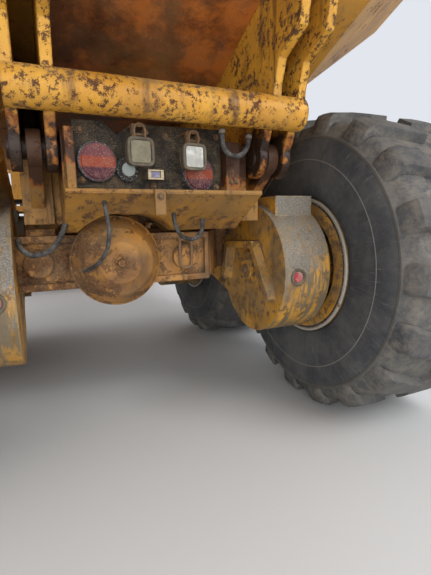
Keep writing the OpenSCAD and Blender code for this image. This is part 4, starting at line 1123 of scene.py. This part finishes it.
def cushion(name, low, high, body, turn=None, lift=0.35):
    # A stuffed box: rounded along its edges and slightly domed
    low, high = Vector(low), Vector(high)
    mid, half = (low + high) / 2, (high - low) / 2
    verts, faces, n = [], [], 14
    index = {}
    for axis in range(3):
        for end in (-1, 1):
            for i in range(n + 1):
                for j in range(n + 1):
                    cube = [0.0, 0.0, 0.0]
                    cube[axis] = end
                    cube[(axis + 1) % 3] = 2 * i / n - 1
                    cube[(axis + 2) % 3] = 2 * j / n - 1
                    power = sum(abs(c) ** 6 for c in cube) ** (1 / 6)
                    q = Vector(cube) / power
                    dome = 1 - lift * 0.12 * (q.x ** 2 + q.y ** 2)
                    q = mid + Vector((q.x * half.x, q.y * half.y, q.z * half.z * dome))
                    q = turn @ q if turn is not None else q
                    key = tuple(round(c, 5) for c in q)
                    if key not in index:
                        index[key] = len(verts)
                        verts.append(q)
                    faces.append((axis, end, i, j, index[key]))
    table = {f[:4]: f[4] for f in faces}
    quads = []
    for axis in range(3):
        for end in (-1, 1):
            for i in range(n):
                for j in range(n):
                    quad = [table[(axis, end, i + a, j + b)] for a, b in ((0, 0), (1, 0), (1, 1), (0, 1))]
                    if len(set(quad)) == 4:
                        quads.append(quad if end > 0 else quad[::-1])
    shape = Shape()
    shape.add(verts, quads)
    piece = shape.build(name, finishes["seat_fabric"], body, "seat_fabric", 60)
    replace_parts(piece, "seat")
    return piece


def makeCab():
    rubber = Shape()
    half, back, front = cab["half"], cab["back"], cab["front"]
    for side in (-1, 1):
        x = side * (half - 0.004)
        gasket(rubber, sidePane(x, back + 0.09, back + 0.32, 2.5, 3.5))
        gasket(rubber, [(x, front - 0.24, 2.5), (x, front - 0.08, 2.5), (x, front - 0.08, 2.8),
                        (x, front - 0.24, 3.5)])
    x = half - 0.004
    gasket(rubber, sidePane(x, front - 1.23, front - 0.34, 2.5, 3.5))
    low, high = (front - rise / cab["screenHeight"] * cab["screenLean"] for rise in (0.07, 0.91))
    gasket(rubber, [(-0.7, low, 2.72), (0.7, low, 2.72), (0.7, high, 3.56), (-0.7, high, 3.56)])
    gasket(rubber, [(-0.65, back, 2.5), (0.65, back, 2.5), (0.65, back, 3.45), (-0.65, back, 3.45)])
    rubber.build("cabGaskets", finishes["hose_rubber"], "tractor", "hose_rubber")
    door = Shape()
    x = -half + 0.004
    gasket(door, sidePane(x, front - 1.18, front - 0.39, 2.45, 3.47))
    door.block((-half - 0.022, front - 0.44, 2.24), (-half - 0.010, front - 0.33, 2.27), 0.004)
    for y in (front - 0.435, front - 0.345):
        door.block((-half - 0.012, y, 2.245), (-half + 0.001, y + 0.012, 2.265), 0.002)
    door.build("doorTrim", finishes["hose_rubber"], "door", "black_plastic")
    wiper = Shape()
    wiper.lathe((0.1, front + 0.002, 2.66), (0, 1, 0), [(0, 0.02), (0.016, 0.02), (0.02, 0.014), (0.02, 0)],
                16)
    wiper.tube([(0.1, front + 0.012, 2.66), (-0.12, front - 0.045, 2.98)], 0.006, 8)
    wiper.tube([(-0.33, front - 0.018, 2.86), (0.06, front - 0.062, 3.08)], 0.008, 6)
    wiper.build("wiper", finishes["black_plastic"], "tractor", "black_plastic")
    glass = Shape()
    for side in (-1, 1):
        glass.block((side * 1.46 - 0.105, front - 0.0675, 2.575),
                    (side * 1.46 + 0.105, front - 0.064, 3.065), 0.002)
    glass.build("mirrorGlass", finishes["mirror_glass"], "tractor", "rod_steel")
    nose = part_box("bumper")[1].y
    lenses, bezels = Shape(), Shape()
    for side in (-1, 1):
        for x in (0.955, 1.105):
            spot = (side * x, nose - 0.08, 1.162 + 0.075)
            lenses.lathe(spot, (0, 1, 0), [(0.0, 0.0545), (0.004, 0.05), (0.007, 0.03), (0.008, 0.0)], 32)
            bezels.lathe(spot, (0, 1, 0), [(-0.018, 0.0605), (0.001, 0.0605), (0.004, 0.058),
                                           (0.001, 0.0545)], 32)
    lenses.build("headlampLenses", finishes["lamp_lens"], "tractor", "lamp_lens")
    bezels.build("headlampBezels", finishes["dull_steel"], "tractor", "rod_steel")
    seatY = wheelSpots["front_right"].y
    cushion("seatCushion", (-0.27, seatY - 0.2, 2.05), (0.27, seatY + 0.29, 2.19), "tractor")
    hinge = Matrix.Translation((0, seatY - 0.17, 2.19))
    lean = hinge @ Matrix.Rotation(math.radians(6), 4, "X") @ Matrix.Translation((0, -(seatY - 0.17), -2.19))
    cushion("seatBack", (-0.26, seatY - 0.23, 2.16), (0.26, seatY - 0.11, 2.83), "tractor", lean, 0.2)
    base = Shape()
    base.block((-0.18, seatY - 0.18, 1.655), (0.18, seatY + 0.17, 1.70), 0.01)
    base.block((-0.12, seatY - 0.12, 1.70), (0.12, seatY + 0.11, 2.0), 0.015)
    base.block((-0.22, seatY - 0.18, 2.0), (0.22, seatY + 0.24, 2.055), 0.01)
    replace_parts(base.build("seatBase", finishes["black_plastic"], "tractor", "black_plastic"), "seat")


makeCab()
print("cab")

# Bolts round the trunnions and latches on the hood
trunnion = {"bolts": 10, "boltRing": 0.072}


def makeSmallParts():
    bolts = Shape()
    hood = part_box("hood")
    for side in (-1, 1):
        for k in range(trunnion["bolts"]):
            t = 2 * math.pi * k / trunnion["bolts"]
            bolts.bolt((side * 0.61,
                        (rearY + wheelSpots["middle_right"].y) / 2 + trunnion["boltRing"] * math.cos(t),
                        axleZ + 0.085 + trunnion["boltRing"] * math.sin(t)), (side, 0, 0), 0.009, 0.01)
    bolts.build("trunnionBolts", finishes["dull_steel"], "rear_chassis", "rod_steel")
    latches = Shape()
    for side in (-1, 1):
        for y in (hood[0].y + 0.25, hood[0].y + 0.9):
            x = side * hood[1].x
            latches.tube(smoothRoute([(x, y, 1.78), (x + side * 0.03, y, 1.79),
                                      (x + side * 0.03, y + 0.14, 1.79),
                                      (x, y + 0.14, 1.78)], 4), 0.007, 8)
            latches.block((x - side * 0.004 - 0.006, y + 0.03, 1.64),
                          (x - side * 0.004 + 0.016, y + 0.1, 1.70), 0.004)
    latches.build("hoodLatches", finishes["black_plastic"], "hood_lid", "black_plastic")


makeSmallParts()
print("small parts")

# Floor, light and backdrop
stage = {"floor": tone(206, 206, 204), "sky": (0.9, 0.93, 1.0, 1.0), "skyStrength": 0.85}


def makeStage():
    mesh = bpy.data.meshes.new("floor")
    reach = 60
    mesh.from_pydata([(-reach, -reach, 0), (reach, -reach, 0), (reach, reach, 0), (-reach, reach, 0)], [],
                     [(0, 1, 2, 3)])
    material, tree, shader = newMaterial("paleFloor")
    where = objectSpace(tree)
    tree.links.new(mixColour(tree, noiseOf(tree, where, 0.4, 3), stage["floor"], tone(214, 214, 212)),
                   shader["Base Color"])
    shader["Roughness"].default_value = 0.9
    mesh.materials.append(material)
    floor = bpy.data.objects.new("floor", mesh)
    bpy.context.scene.collection.objects.link(floor)
    world = bpy.data.worlds.new("studio")
    world.use_nodes = True
    sky = world.node_tree.nodes["Background"].inputs
    sky["Color"].default_value = stage["sky"]
    sky["Strength"].default_value = stage["skyStrength"]
    bpy.context.scene.world = world
    for name, place, aim, size, power in (("mainLight", (5, -13, 9), (0.3, -4.2, 1.0), 7, 1000),
                                          ("lowLight", (-3.5, -12, 2.2), (0.4, -3.8, 1.1), 5, 330),
                                          ("sideLight", (-12, 2, 9), (0, 0, 1.5), 8, 700),
                                          ("frontLight", (7, 14, 8), (0, 3, 1.5), 8, 600)):
        data = bpy.data.lights.new(name, "AREA")
        data.size = size
        data.energy = power
        light = bpy.data.objects.new(name, data)
        bpy.context.scene.collection.objects.link(light)
        light.location = place
        light.rotation_mode = "QUATERNION"
        light.rotation_quaternion = (Vector(aim) - Vector(place)).to_track_quat("-Z", "Y")


makeStage()
